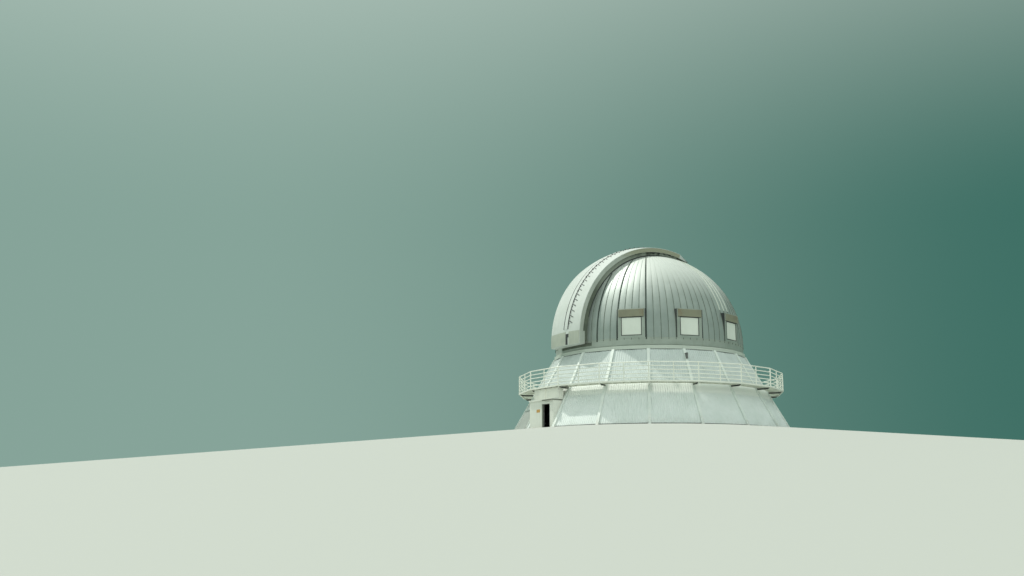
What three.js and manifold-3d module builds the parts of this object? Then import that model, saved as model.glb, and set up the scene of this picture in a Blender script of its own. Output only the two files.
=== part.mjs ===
// Observatory dome: a turning aluminium hemisphere on an eighteen-sided sloping steel house.
// Millimetres, +Z up. The origin is on the turning axis at ground level, and -Y is the entrance side.
import * as THREE from 'three';
import { mergeVertices } from 'three/addons/utils/BufferGeometryUtils.js';
import Module from 'manifold-3d';

const wasm = await Module();
wasm.setup();

// Gaps
const seatGap = 0.3;
const runGap = 5;

// House: eighteen bays, with a leg on every corner. It is turned a little from the slit
const houseTurn = 2.4;
const bayCount = 18;
const bayAngle = 360 / bayCount;
const legTopRadius = 7930;
const legTopZ = 6890;
const legSlope = 0.57;
const legWidth = 220;
const floorThickness = 100;
const wallThickness = 200;
const deckTopZ = 3450;
const claddingInset = 120;
const curbBottomZ = 6280;
const curbTopZ = 6560;
const curbOuterRadius = 8170;
const curbInnerRadius = 7750;
const trackTopZ = 6600;
const trackOuterRadius = 7980;

// Balcony
const deckInnerRadius = 10050;
const deckOuterRadius = 11250;
const deckThickness = 120;
const bracketDepth = 170;
const bracketWidth = 100;
const bracketEndRadius = 11150;
const railTopZ = 4900;
const railInset = 60;
const railBar = 64;
const railPost = 70;
const railRows = 5;
const railPitch = 300;
const cornerPost = 80;

// Porch and entrance door
const porchHalfWidth = 1650;
const porchFrontY = -11300;
const porchWall = 120;
const porchTopZ = 2300;
const porchRoofThickness = 100;
const porchRoofOverhang = 100;
const parapetTopZ = 3300;
const parapetFrontY = -10850;
const parapetEndY = -10300;
const doorLeft = 270;
const doorRight = 1130;
const doorHeadZ = 1960;
const frameBar = 40;
const leafThickness = 55;
const hingeRadius = 14.7;
const hingeX = doorRight + 5;
const hingeY = porchFrontY + porchWall + 15;
const signWidth = 480;
const signHeight = 240;
const signCentreX = -430;
const signCentreZ = 1500;
const signThickness = 12;

// Dome
const domeRadius = 8000;
const domeCentreZ = 7380;
const shellThickness = 100;
const rimTopZ = 7220;
const rimOuterRadius = 8030;
const rimInnerRadius = 7800;
const goreCount = 21;
const goreAngle = 360 / goreCount;
const goresInPanel = 3;
const panelGapAngle = 0.003;
const shellRows = 12;
const shellEndRadius = 800;

// Slit, its girders and the shutters over it
const slitHalfWidth = 1800;
const girderWidth = 150;
const girderInnerRadius = 7750;
const girderOuterRadius = 8300;
const girderEndAngle = 109.5;
const girderTopEndAngle = 103;
const slitRearY = 2850;
const headerInnerRadius = 7750;
const headerFrontAngle = 109.502;
const shutterOuterRadius = 8450;
const shutterCrown = 250;
const crownFootRadius = 8130;
const crownSteps = 3;
const shutterPlate = 80;
const shutterWidth = 2100;
const shutterJointX = 440;
const shutterEndAngle = 105.3;
const shutterRearAngle = 104.3;
const shutterCentreY = -200;
const rearFootRadius = 8050;
const rearFootAngles = [110, 111];
const shutterSkirtRadius = 8080;
const shutterSkirtEndAngle = 109.5;
const shutterSkirtWidth = 60;
const shutterCheekY = -8100;
const shutterCheekTopZ = 8020;
const shutterBottomZ = 6960;
const sillBottomZ = 7060;
const sillFrontY = -8540;
const lipInnerY = -8100;

// Square vents, each filling one gore above the rim
const ventGores = [2.5, 4.5, 6.5, 10.5, 14.5, 16.5, 18.5];
const ventHalfWidth = 1100;
const ventTopZ = 9550;
const ventBackRadius = 7500;
const ventFrontRadius = 7950;
const ventDoorHalfWidth = 800;
const ventDoorBottomZ = 7440;
const ventDoorTopZ = 8870;
const ventDoorRecess = 30;
const ventDoorThickness = 60;
const hoodBottomZ = 8940;
const hoodHalfWidth = 1020;
const hoodReach = 80;

// Small lamp on a leg
const lampBearing = 70;
const lampBottomZ = 5420;
const lampTopZ = 5880;
const lampReach = 150;
const lampWidth = 120;

const group = new THREE.Group();

const whitePaint = new THREE.MeshStandardMaterial({ color: 0xe6e9e6, roughness: 0.55, metalness: 0.1 });
const aluminium = new THREE.MeshStandardMaterial({ color: 0xb9bfc0, roughness: 0.38, metalness: 0.85 });
const shutterMetal = new THREE.MeshStandardMaterial({ color: 0xd6dad8, roughness: 0.42, metalness: 0.5 });
const ventWhite = new THREE.MeshStandardMaterial({ color: 0xe9efe4, roughness: 0.5, metalness: 0.0 });
const concrete = new THREE.MeshStandardMaterial({ color: 0xa9a59b, roughness: 0.9, metalness: 0.0 });
const darkGrey = new THREE.MeshStandardMaterial({ color: 0x4b4f50, roughness: 0.6, metalness: 0.2 });
const signOrange = new THREE.MeshStandardMaterial({ color: 0xc8672c, roughness: 0.6, metalness: 0.0 });

const radians = (degrees) => THREE.MathUtils.degToRad(degrees);
const degrees = (angle) => THREE.MathUtils.radToDeg(angle);
const legRadius = (z) => legTopRadius + (legTopZ - z) * legSlope;
const claddingRadius = (z) => legRadius(z) - claddingInset;

const claddingHeight = (radius) => legTopZ - (radius + claddingInset - legTopRadius) / legSlope;

// Distance of a flat side from the axis, for corners at the radius
const flatDistance = (radius) => radius * Math.cos(radians(bayAngle / 2));

// A bearing is measured from -Y towards +X
function atBearing(radius, bearing, z) {
  const angle = radians(bearing);
  return new THREE.Vector3(radius * Math.sin(angle), -radius * Math.cos(angle), z);
}

// Local x runs along the wall, y up and z outwards
function facing(bearing) {
  const angle = radians(bearing);
  const along = new THREE.Vector3(Math.cos(angle), Math.sin(angle), 0);
  const up = new THREE.Vector3(0, 0, 1);
  const out = new THREE.Vector3(Math.sin(angle), -Math.cos(angle), 0);
  return new THREE.Matrix4().makeBasis(along, up, out);
}

// Local x runs outwards, y up and z along the wall
function edgeOn(bearing) {
  const angle = radians(bearing);
  const out = new THREE.Vector3(Math.sin(angle), -Math.cos(angle), 0);
  const up = new THREE.Vector3(0, 0, 1);
  const back = new THREE.Vector3(-Math.cos(angle), -Math.sin(angle), 0);
  return new THREE.Matrix4().makeBasis(out, up, back);
}

function outlineShape(points) {
  return new THREE.Shape(points.map(([x, y]) => new THREE.Vector2(x, y)));
}

function extruded(shape, depth, steps = 1) {
  return new THREE.ExtrudeGeometry(shape, { depth, steps, bevelEnabled: false, curveSegments: 1 });
}

// A plate drawn in the radius and height plane, centred on a bearing
function radialPlate(points, width, bearing) {
  const geometry = extruded(outlineShape(points), width);
  geometry.translate(0, 0, -width / 2);
  return geometry.applyMatrix4(edgeOn(bearing));
}

// A plate facing outwards, drawn along the wall and up, between two distances from the axis
function facingPlate(shape, near, far, bearing) {
  const geometry = extruded(shape, far - near);
  geometry.translate(0, 0, near);
  return geometry.applyMatrix4(facing(bearing));
}

function facingBox(halfWidth, bottom, top, near, far, bearing) {
  const corners = [[-halfWidth, bottom], [halfWidth, bottom], [halfWidth, top], [-halfWidth, top]];
  return facingPlate(outlineShape(corners), near, far, bearing);
}

// A plate drawn in the Y and Z plane, between two places on X
function lengthwisePlate(points, fromX, toX, steps = 1) {
  const geometry = extruded(outlineShape(points), toX - fromX, steps);
  geometry.translate(0, 0, fromX);
  const axes = [new THREE.Vector3(0, 1, 0), new THREE.Vector3(0, 0, 1), new THREE.Vector3(1, 0, 0)];
  return geometry.applyMatrix4(new THREE.Matrix4().makeBasis(...axes));
}

function box(fromX, toX, fromY, toY, fromZ, toZ) {
  const geometry = new THREE.BoxGeometry(toX - fromX, toY - fromY, toZ - fromZ);
  return geometry.translate((fromX + toX) / 2, (fromY + toY) / 2, (fromZ + toZ) / 2);
}

// Sweeps a closed profile of radius and height, given anticlockwise, from bearing to bearing
function swept(profile, bearings, wholeTurn = false) {
  const positions = [];
  const indices = [];
  const count = profile.length;
  for (const bearing of bearings) {
    for (const [radius, z] of profile) {
      positions.push(...atBearing(radius, bearing, z).toArray());
    }
  }
  const steps = wholeTurn ? bearings.length : bearings.length - 1;
  for (let step = 0; step < steps; step += 1) {
    const here = step * count;
    const there = ((step + 1) % bearings.length) * count;
    for (let i = 0; i < count; i += 1) {
      const next = (i + 1) % count;
      indices.push(here + i, there + i, there + next);
      indices.push(here + i, there + next, here + next);
    }
  }
  if (!wholeTurn) {
    const outline = profile.map(([radius, z]) => new THREE.Vector2(radius, z));
    const last = (bearings.length - 1) * count;
    for (const [a, b, c] of THREE.ShapeUtils.triangulateShape(outline, [])) {
      indices.push(a, b, c);
      indices.push(last + a, last + c, last + b);
    }
  }
  const geometry = new THREE.BufferGeometry();
  geometry.setAttribute('position', new THREE.Float32BufferAttribute(positions, 3));
  geometry.setIndex(indices);
  return geometry;
}

function toSolid(geometry) {
  const bare = geometry.clone();
  bare.deleteAttribute('normal');
  bare.deleteAttribute('uv');
  const merged = mergeVertices(bare, 0.001);
  const mesh = new wasm.Mesh({
    numProp: 3,
    vertProperties: new Float32Array(merged.attributes.position.array),
    triVerts: new Uint32Array(merged.index.array),
  });
  return new wasm.Manifold(mesh);
}

function toGeometry(solid) {
  const mesh = solid.getMesh();
  const geometry = new THREE.BufferGeometry();
  geometry.setAttribute('position', new THREE.BufferAttribute(mesh.vertProperties, 3));
  geometry.setIndex(new THREE.BufferAttribute(mesh.triVerts, 1));
  return geometry;
}

function joined(geometries) {
  return toGeometry(geometries.map(toSolid).reduce((sum, piece) => sum.add(piece)));
}

function cutBy(geometry, cutters) {
  return toGeometry(cutters.map(toSolid).reduce((rest, cutter) => rest.subtract(cutter), toSolid(geometry)));
}

function addPiece(name, geometry, material) {
  const mesh = new THREE.Mesh(geometry, material);
  mesh.name = name;
  group.add(mesh);
}

function addHousePiece(name, geometry, material) {
  addPiece(name, geometry.rotateZ(radians(houseTurn)), material);
}

// Corner bearings of a run of bays; bay 0 is the entrance bay
function cornerBearings(firstBay, bays, gapRadius) {
  const trim = degrees(seatGap / 2 / gapRadius);
  const corners = [];
  for (let i = 0; i <= bays; i += 1) {
    corners.push((firstBay + i - 0.5) * bayAngle);
  }
  corners[0] += trim;
  corners[bays] -= trim;
  return corners;
}

function ringBearings(count) {
  return Array.from({ length: count }, (_, i) => (i * 360) / count);
}

function groundFloor() {
  const corners = cornerBearings(0, bayCount, claddingRadius(0)).slice(0, bayCount);
  const outline = corners.map((bearing) => {
    const corner = atBearing(claddingRadius(floorThickness), bearing, 0);
    return [corner.x, corner.y];
  });
  return extruded(outlineShape(outline), floorThickness);
}

// One sloping wall runs from the ground to the curb, split at the deck
function slopingWall(firstBay, bays, bottom, top) {
  const profile = [
    [claddingRadius(bottom) - wallThickness, bottom],
    [claddingRadius(bottom), bottom],
    [claddingRadius(top), top],
    [claddingRadius(top) - wallThickness, top],
  ];
  return swept(profile, cornerBearings(firstBay, bays, claddingRadius(top)));
}

function lowerWall(firstBay, bays) {
  return slopingWall(firstBay, bays, floorThickness + seatGap, deckTopZ - seatGap);
}

// The porch stands in a gap cut right through the entrance bay
function entranceBay() {
  const side = porchHalfWidth + seatGap;
  const gap = box(-side, side, -claddingRadius(0), -claddingRadius(0) + 3000, 0, porchTopZ);
  return cutBy(lowerWall(0, 1), [gap]);
}

function upperWall(firstBay, bays) {
  return slopingWall(firstBay, bays, deckTopZ, curbBottomZ - seatGap);
}

function leg(bearing) {
  const topZ = curbBottomZ + 60;
  return radialPlate([
    [claddingRadius(0) + seatGap, 0],
    [legRadius(0), 0],
    [legRadius(topZ), topZ],
    [claddingRadius(topZ) + seatGap, topZ],
  ], legWidth, bearing);
}

// Six legs hung from a third of the curb, whose raised inner part is the dome's track
function legFrame(firstBay, bays) {
  const profile = [
    [curbInnerRadius, curbBottomZ],
    [curbOuterRadius, curbBottomZ],
    [curbOuterRadius, curbTopZ],
    [trackOuterRadius, curbTopZ],
    [trackOuterRadius, trackTopZ],
    [curbInnerRadius, trackTopZ],
  ];
  const start = firstBay * bayAngle;
  const trim = degrees(seatGap / 2 / curbInnerRadius);
  const bearings = Array.from({ length: bays * 2 + 1 }, (_, i) => start + (i * bayAngle) / 2);
  bearings[0] += trim;
  bearings[bearings.length - 1] -= trim;
  const pieces = [swept(profile, bearings)];
  for (let i = 0; i < bays; i += 1) {
    pieces.push(leg(start + (i + 0.5) * bayAngle));
  }
  return joined(pieces);
}

function deckBracket(bearing) {
  const top = deckTopZ - deckThickness + 20;
  const bottom = deckTopZ - deckThickness - bracketDepth;
  return radialPlate([
    [legRadius(bottom) + seatGap, bottom],
    [bracketEndRadius - 250, bottom],
    [bracketEndRadius, top - bracketDepth / 2],
    [bracketEndRadius, top],
    [legRadius(top) + seatGap, top],
  ], bracketWidth, bearing);
}

function balconyDeck(firstBay, bays) {
  const bottom = deckTopZ - deckThickness;
  const profile = [
    [deckInnerRadius, bottom],
    [deckOuterRadius, bottom],
    [deckOuterRadius, deckTopZ],
    [deckInnerRadius, deckTopZ],
  ];
  const start = firstBay * bayAngle;
  const trim = degrees(seatGap / 2 / deckInnerRadius);
  const bearings = [start + trim];
  for (let i = 0; i < bays; i += 1) {
    bearings.push(start + (i + 0.5) * bayAngle);
  }
  bearings.push(start + bays * bayAngle - trim);
  const sector = sweptDeck(profile, bearings);
  const brackets = bearings.slice(1, -1).map(deckBracket);
  return joined([sector, ...brackets]);
}

// The deck's first and last edges lie in the middle of a flat side
function sweptDeck(profile, bearings) {
  const last = bearings.length - 1;
  const geometry = swept(profile, bearings);
  const position = geometry.attributes.position;
  for (const ring of [0, last]) {
    for (let i = 0; i < profile.length; i += 1) {
      const [radius, z] = profile[i];
      const point = atBearing(flatDistance(radius), bearings[ring], z);
      position.setXYZ(ring * profile.length + i, point.x, point.y, point.z);
    }
  }
  return geometry;
}

// One flat side of the railing: its rails and a middle post, standing on the deck
function railSide(bearing, rightTrim) {
  const railRadius = deckOuterRadius - railInset;
  const half = railRadius * Math.sin(radians(bayAngle / 2));
  const distance = flatDistance(railRadius);
  const bars = [facingBox(
    railPost / 2, deckTopZ + seatGap, railTopZ, distance - railPost / 2, distance + railPost / 2, bearing,
  )];
  for (let row = 0; row < railRows; row += 1) {
    const top = railTopZ - row * railPitch;
    const bar = box(-half, half - rightTrim, -railBar / 2, railBar / 2, top - railBar, top);
    bar.translate(0, -distance, 0);
    bars.push(bar.rotateZ(radians(bearing)));
  }
  return bars;
}

function railing(firstBay, bays) {
  const pieces = [];
  const railRadius = deckOuterRadius - railInset;
  const clear = cornerPost / 2 + 12;
  for (let i = 0; i < bays; i += 1) {
    const bay = firstBay + i;
    pieces.push(...railSide(bay * bayAngle, i === bays - 1 ? clear : 0));
    const corner = (bay - 0.5) * bayAngle;
    pieces.push(facingBox(
      cornerPost / 2, deckTopZ + seatGap, railTopZ + 10,
      railRadius - cornerPost / 2, railRadius + cornerPost / 2, corner,
    ));
  }
  return joined(pieces);
}

function porchFront() {
  const bottom = floorThickness + seatGap;
  const top = porchTopZ - seatGap;
  const left = doorLeft - frameBar;
  const right = doorRight + frameBar;
  const head = doorHeadZ + frameBar;
  const shape = outlineShape([
    [-porchHalfWidth, bottom], [left, bottom], [left, head], [right, head],
    [right, bottom], [porchHalfWidth, bottom], [porchHalfWidth, top], [-porchHalfWidth, top],
  ]);
  return facingPlate(shape, -porchFrontY - porchWall, -porchFrontY, 0);
}

// The cheek fills the gap between the porch front and the inner face of the sloping wall
function porchSide(side) {
  const outer = side * porchHalfWidth;
  const inner = side * (porchHalfWidth - porchWall);
  const front = porchFrontY + porchWall + seatGap;
  const top = porchTopZ - seatGap;
  const back = -flatDistance(claddingRadius(porchTopZ) - wallThickness);
  const apex = claddingHeight(-front / Math.cos(radians(bayAngle / 2)) + wallThickness);
  const outline = [[front, apex], [back, top], [front, top]];
  return lengthwisePlate(outline, Math.min(outer, inner), Math.max(outer, inner));
}

function porchRoof() {
  const back = -flatDistance(claddingRadius(porchTopZ)) - seatGap;
  return box(
    -porchHalfWidth, porchHalfWidth, porchFrontY - porchRoofOverhang, back,
    porchTopZ, porchTopZ + porchRoofThickness,
  );
}

// The closed box over the porch stands on its roof, set back under the balcony
function porchParapet() {
  const outer = porchHalfWidth;
  const inner = porchHalfWidth - porchWall;
  const back = parapetFrontY + porchWall;
  const shape = outlineShape([
    [-outer, parapetFrontY], [outer, parapetFrontY], [outer, parapetEndY], [inner, parapetEndY],
    [inner, back], [-inner, back], [-inner, parapetEndY], [-outer, parapetEndY],
  ]);
  const bottom = porchTopZ + porchRoofThickness + seatGap;
  return extruded(shape, parapetTopZ - bottom).translate(0, 0, bottom);
}

function doorFrame() {
  const bottom = floorThickness + seatGap;
  const outer = frameBar - seatGap;
  const shape = outlineShape([
    [doorLeft - outer, bottom], [doorLeft, bottom], [doorLeft, doorHeadZ], [doorRight, doorHeadZ],
    [doorRight, bottom], [doorRight + outer, bottom], [doorRight + outer, doorHeadZ + outer],
    [doorLeft - outer, doorHeadZ + outer],
  ]);
  return facingPlate(shape, -porchFrontY - porchWall, -porchFrontY, 0);
}

// The leaf stands open, at right angles to the front wall, with three knuckles on the jamb
function entranceDoor() {
  const edge = 10;
  const leafLength = 855 - edge;
  const bottom = floorThickness + 2 * runGap;
  const top = doorHeadZ - runGap;
  const leaf = box(
    hingeX - edge - leafThickness, hingeX - edge, hingeY + edge, hingeY + edge + leafLength, bottom, top,
  );
  const pieces = [leaf];
  const knuckleHeight = 110;
  for (const share of [0.12, 0.5, 0.88]) {
    const z = bottom + (top - bottom) * share;
    const knuckle = new THREE.CylinderGeometry(hingeRadius, hingeRadius, knuckleHeight, 12);
    knuckle.rotateX(Math.PI / 2);
    knuckle.translate(hingeX, hingeY, z);
    pieces.push(knuckle);
    pieces.push(box(
      hingeX - hingeRadius + 0.4, hingeX - 2, hingeY, hingeY + 60,
      z - knuckleHeight / 2, z + knuckleHeight / 2,
    ));
  }
  return joined(pieces);
}

function signPlate() {
  return box(
    signCentreX - signWidth / 2, signCentreX + signWidth / 2,
    porchFrontY - seatGap - signThickness, porchFrontY - seatGap,
    signCentreZ - signHeight / 2, signCentreZ + signHeight / 2,
  );
}

function wallLamp() {
  const reach = legRadius(lampBottomZ) + lampReach;
  return radialPlate([
    [legRadius(lampBottomZ) + seatGap, lampBottomZ],
    [reach, lampBottomZ],
    [reach, lampTopZ],
    [legRadius(lampTopZ) + seatGap, lampTopZ],
  ], lampWidth, lampBearing);
}

function domeRim() {
  const bottom = trackTopZ + seatGap;
  const profile = [
    [rimInnerRadius, bottom], [rimOuterRadius, bottom], [rimOuterRadius, rimTopZ], [rimInnerRadius, rimTopZ],
  ];
  return swept(profile, ringBearings(goreCount * 2), true);
}

function ventCutter(gore) {
  return facingBox(
    ventHalfWidth + seatGap, rimTopZ - 100, ventTopZ + seatGap, ventBackRadius - 400, ventFrontRadius + 400,
    gore * goreAngle,
  );
}

function slitCutter() {
  const side = slitHalfWidth + girderWidth + seatGap;
  return box(-side, side, -domeRadius - 500, slitRearY, rimTopZ - 100, domeCentreZ + domeRadius + 500);
}

// Three gores of the hemisphere, cut for the slit and the vents
function shellPanel(index) {
  const bottom = rimTopZ + seatGap;
  const profile = [];
  const innerRadius = domeRadius - shellThickness;
  const angleAt = (radius, share) => {
    const low = Math.asin((bottom - domeCentreZ) / radius);
    const high = Math.acos(shellEndRadius / radius);
    return low + (high - low) * share;
  };
  for (let row = 0; row <= shellRows; row += 1) {
    const angle = angleAt(domeRadius, row / shellRows);
    profile.push([domeRadius * Math.cos(angle), domeCentreZ + domeRadius * Math.sin(angle)]);
  }
  for (let row = shellRows; row >= 0; row -= 1) {
    const angle = angleAt(innerRadius, row / shellRows);
    profile.push([innerRadius * Math.cos(angle), domeCentreZ + innerRadius * Math.sin(angle)]);
  }
  const columns = goresInPanel * 2;
  const start = index * goresInPanel * goreAngle;
  const bearings = Array.from({ length: columns + 1 }, (_, i) => start + (i * goreAngle) / 2);
  bearings[0] += panelGapAngle;
  bearings[columns] -= panelGapAngle;
  const first = index * goresInPanel;
  const vents = ventGores.filter((gore) => gore > first && gore < first + goresInPanel);
  return cutBy(swept(profile, bearings), [slitCutter(), ...vents.map(ventCutter)]);
}

function ventFrame(gore) {
  const bottom = rimTopZ + seatGap;
  const shape = outlineShape([
    [-ventHalfWidth, bottom], [ventHalfWidth, bottom], [ventHalfWidth, ventTopZ], [-ventHalfWidth, ventTopZ],
  ]);
  const w = ventDoorHalfWidth;
  const corners = [[-w, ventDoorBottomZ], [-w, ventDoorTopZ], [w, ventDoorTopZ], [w, ventDoorBottomZ]];
  shape.holes.push(new THREE.Path(corners.map(([x, y]) => new THREE.Vector2(x, y))));
  const bearing = gore * goreAngle;
  const frame = facingPlate(shape, ventBackRadius, ventFrontRadius, bearing);
  const hood = facingBox(
    hoodHalfWidth, hoodBottomZ, ventTopZ, ventFrontRadius - 50, ventFrontRadius + hoodReach, bearing,
  );
  return joined([frame, hood]);
}

function ventDoor(gore) {
  const front = ventFrontRadius - ventDoorRecess;
  return facingBox(
    ventDoorHalfWidth - seatGap, ventDoorBottomZ + seatGap, ventDoorTopZ - seatGap,
    front - ventDoorThickness, front, gore * goreAngle,
  );
}

// A point over the slit: the angle runs from the front, over the top, to the back
function overSlit(radius, angle, centreY = 0) {
  return [centreY - radius * Math.cos(radians(angle)), domeCentreZ + radius * Math.sin(radians(angle))];
}

function arcOverSlit(radius, fromAngle, toAngle, steps, centreY) {
  const angles = Array.from({ length: steps + 1 }, (_, i) => fromAngle + ((toAngle - fromAngle) * i) / steps);
  return angles.map((angle) => overSlit(radius, angle, centreY));
}

// An arched band, whose front end runs straight down from the dome's centre height
function archedBand(inner, outer, bottom, steps, centreY = 0, rearPoints = []) {
  return [
    [centreY - outer.radius, bottom],
    [centreY - inner.radius, bottom],
    ...arcOverSlit(inner.radius, 0, inner.endAngle, steps, centreY),
    ...rearPoints,
    ...arcOverSlit(outer.radius, outer.endAngle, 0, steps, centreY),
  ];
}

// The girder's outer part stops short of the shutters' sloping rear end
function slitGirder(side) {
  const outline = archedBand(
    { radius: girderInnerRadius, endAngle: girderEndAngle },
    { radius: girderOuterRadius, endAngle: girderTopEndAngle },
    rimTopZ + seatGap, 16, 0, [overSlit(rearFootRadius - 10, girderEndAngle)],
  );
  const near = side * slitHalfWidth;
  const far = side * (slitHalfWidth + girderWidth);
  return lengthwisePlate(outline, Math.min(near, far), Math.max(near, far));
}

function slitHeader() {
  const rearY = slitRearY - seatGap;
  const topRadius = rearFootRadius - seatGap;
  const heightAt = (radius) => domeCentreZ + Math.sqrt(radius ** 2 - rearY ** 2);
  const side = slitHalfWidth + girderWidth;
  return lengthwisePlate([
    overSlit(headerInnerRadius, headerFrontAngle),
    [rearY, heightAt(headerInnerRadius)],
    [rearY, heightAt(topRadius)],
    overSlit(topRadius, headerFrontAngle),
  ], -side, side);
}

function slitSill() {
  const side = slitHalfWidth + girderWidth;
  return box(-side, side, sillFrontY, -rimOuterRadius - seatGap, sillBottomZ, rimTopZ - seatGap);
}

// Raises the shutters' plates towards the middle of the slit
function crowned(geometry) {
  const fullRadius = shutterOuterRadius - shutterPlate;
  const position = geometry.attributes.position;
  for (let i = 0; i < position.count; i += 1) {
    const out = position.getY(i) - shutterCentreY;
    const up = Math.max(position.getZ(i) - domeCentreZ, 0);
    const radius = Math.hypot(out, up);
    const share = THREE.MathUtils.clamp((radius - crownFootRadius) / (fullRadius - crownFootRadius), 0, 1);
    const rise = shutterCrown * (1 - (position.getX(i) / shutterWidth) ** 2) * share;
    position.setY(i, position.getY(i) + (out / radius) * rise);
    position.setZ(i, position.getZ(i) + (up / radius) * rise);
  }
  return geometry;
}

// One curved half: the plate, a skirt and cheek on its outer side, a sloping rear end and a lip under the sill.
// The two halves meet a little to the right of the middle
function shutter(side) {
  const inner = shutterOuterRadius - shutterPlate;
  const weld = inner + shutterPlate / 2;
  const fullWidth = [shutterJointX + side * runGap, side * shutterWidth].sort((a, b) => a - b);
  const skirtWidth = [side * (shutterWidth - shutterSkirtWidth), side * shutterWidth].sort((a, b) => a - b);
  const frontY = shutterCentreY - weld;
  const lipTop = sillBottomZ - seatGap;
  const plate = archedBand(
    { radius: inner, endAngle: shutterEndAngle },
    { radius: shutterOuterRadius, endAngle: shutterEndAngle },
    shutterBottomZ, 20, shutterCentreY,
  );
  const rearFoot = rearFootAngles.map((angle) => overSlit(rearFootRadius, angle));
  const skirt = archedBand(
    { radius: shutterSkirtRadius, endAngle: shutterSkirtEndAngle },
    { radius: weld, endAngle: shutterEndAngle },
    shutterBottomZ, 20, shutterCentreY, rearFoot,
  );
  const cheek = [
    [frontY, shutterBottomZ],
    [shutterCheekY, shutterBottomZ],
    [shutterCheekY, shutterCheekTopZ],
    [frontY, shutterCheekTopZ],
  ];
  const rear = [
    ...rearFoot,
    overSlit(weld, shutterEndAngle, shutterCentreY),
    overSlit(weld, shutterRearAngle, shutterCentreY),
  ];
  const lip = [
    [frontY, shutterBottomZ],
    [lipInnerY, shutterBottomZ],
    [lipInnerY, lipTop],
    [frontY, lipTop],
  ];
  return joined([
    crowned(lengthwisePlate(plate, ...fullWidth, crownSteps)),
    lengthwisePlate(skirt, ...skirtWidth),
    lengthwisePlate(cheek, ...skirtWidth),
    crowned(lengthwisePlate(rear, ...fullWidth, crownSteps)),
    crowned(lengthwisePlate(lip, ...fullWidth, crownSteps)),
  ]);
}

addHousePiece('ground_floor', groundFloor(), concrete);
addHousePiece('entrance_bay', entranceBay(), whitePaint);
addHousePiece('lower_wall_east', lowerWall(1, 6), whitePaint);
addHousePiece('lower_wall_north', lowerWall(7, 5), whitePaint);
addHousePiece('lower_wall_west', lowerWall(12, 6), whitePaint);
const thirds = { south_east: 0, north: 6, south_west: 12 };
for (const [place, firstBay] of Object.entries(thirds)) {
  addHousePiece(`upper_wall_${place}`, upperWall(firstBay, 6), whitePaint);
  addHousePiece(`leg_frame_${place}`, legFrame(firstBay, 6), whitePaint);
  addHousePiece(`balcony_deck_${place}`, balconyDeck(firstBay, 6), whitePaint);
  addHousePiece(`railing_${place}`, railing(firstBay, 6), whitePaint);
}
addHousePiece('porch_front', porchFront(), whitePaint);
addHousePiece('porch_side_left', porchSide(-1), whitePaint);
addHousePiece('porch_side_right', porchSide(1), whitePaint);
addHousePiece('porch_roof', porchRoof(), whitePaint);
addHousePiece('porch_parapet', porchParapet(), whitePaint);
addHousePiece('door_frame', doorFrame(), darkGrey);
addHousePiece('entrance_door', entranceDoor(), whitePaint);
addHousePiece('sign_plate', signPlate(), signOrange);
addHousePiece('wall_lamp', wallLamp(), darkGrey);
addPiece('dome_rim', domeRim(), aluminium);
for (let index = 0; index < goreCount / goresInPanel; index += 1) {
  addPiece(`shell_panel_${index + 1}`, shellPanel(index), aluminium);
}
ventGores.forEach((gore, index) => {
  addPiece(`vent_frame_${index + 1}`, ventFrame(gore), aluminium);
  addPiece(`vent_door_${index + 1}`, ventDoor(gore), ventWhite);
});
addPiece('slit_girder_left', slitGirder(-1), aluminium);
addPiece('slit_girder_right', slitGirder(1), aluminium);
addPiece('slit_header', slitHeader(), aluminium);
addPiece('slit_sill', slitSill(), aluminium);
addPiece('shutter_left', shutter(-1), shutterMetal);
addPiece('shutter_right', shutter(1), shutterMetal);

export default group;
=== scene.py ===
import math
import bpy
import bmesh
from mathutils import Matrix, Vector


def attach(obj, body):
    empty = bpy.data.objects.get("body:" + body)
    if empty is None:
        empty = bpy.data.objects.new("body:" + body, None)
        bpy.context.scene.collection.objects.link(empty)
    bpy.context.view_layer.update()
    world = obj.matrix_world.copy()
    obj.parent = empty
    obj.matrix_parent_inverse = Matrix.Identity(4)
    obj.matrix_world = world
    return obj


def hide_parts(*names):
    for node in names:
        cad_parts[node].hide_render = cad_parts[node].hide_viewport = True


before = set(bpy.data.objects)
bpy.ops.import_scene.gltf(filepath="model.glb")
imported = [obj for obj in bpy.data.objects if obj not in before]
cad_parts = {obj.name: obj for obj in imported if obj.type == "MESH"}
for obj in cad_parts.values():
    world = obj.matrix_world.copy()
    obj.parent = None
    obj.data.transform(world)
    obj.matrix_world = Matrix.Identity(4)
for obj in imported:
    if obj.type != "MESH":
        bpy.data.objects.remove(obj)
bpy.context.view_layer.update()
scene = bpy.context.scene

# Metres. A bearing is measured from -Y towards +X. The house is turned a little from the dome
house = {
    "turn": 2.4, "bays": 18, "legTopRadius": 7.93, "legTopZ": 6.89, "slope": 0.57, "inset": 0.12,
    "legWidth": 0.22, "floorTop": 0.1, "deckTop": 3.45, "curbBottom": 6.28,
}
dome = {
    "radius": 8.0, "thickness": 0.1, "centreZ": 7.38, "rimTop": 7.22, "gores": 21,
    "slitHalf": 1.95, "slitRear": 2.85, "vents": [2.5, 4.5, 6.5, 10.5, 14.5, 16.5, 18.5],
}
# Neighbours that only meet stand this far apart, so that no two faces share a plane
apart = 0.001
bayAngle = 360.0 / house["bays"]
goreAngle = 360.0 / dome["gores"]


def atBearing(radius, bearing, z):
    angle = math.radians(bearing)
    return Vector((radius * math.sin(angle), -radius * math.cos(angle), z))


def legRadius(z):
    return house["legTopRadius"] + (house["legTopZ"] - z) * house["slope"]


def claddingRadius(z):
    return legRadius(z) - house["inset"]


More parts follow.
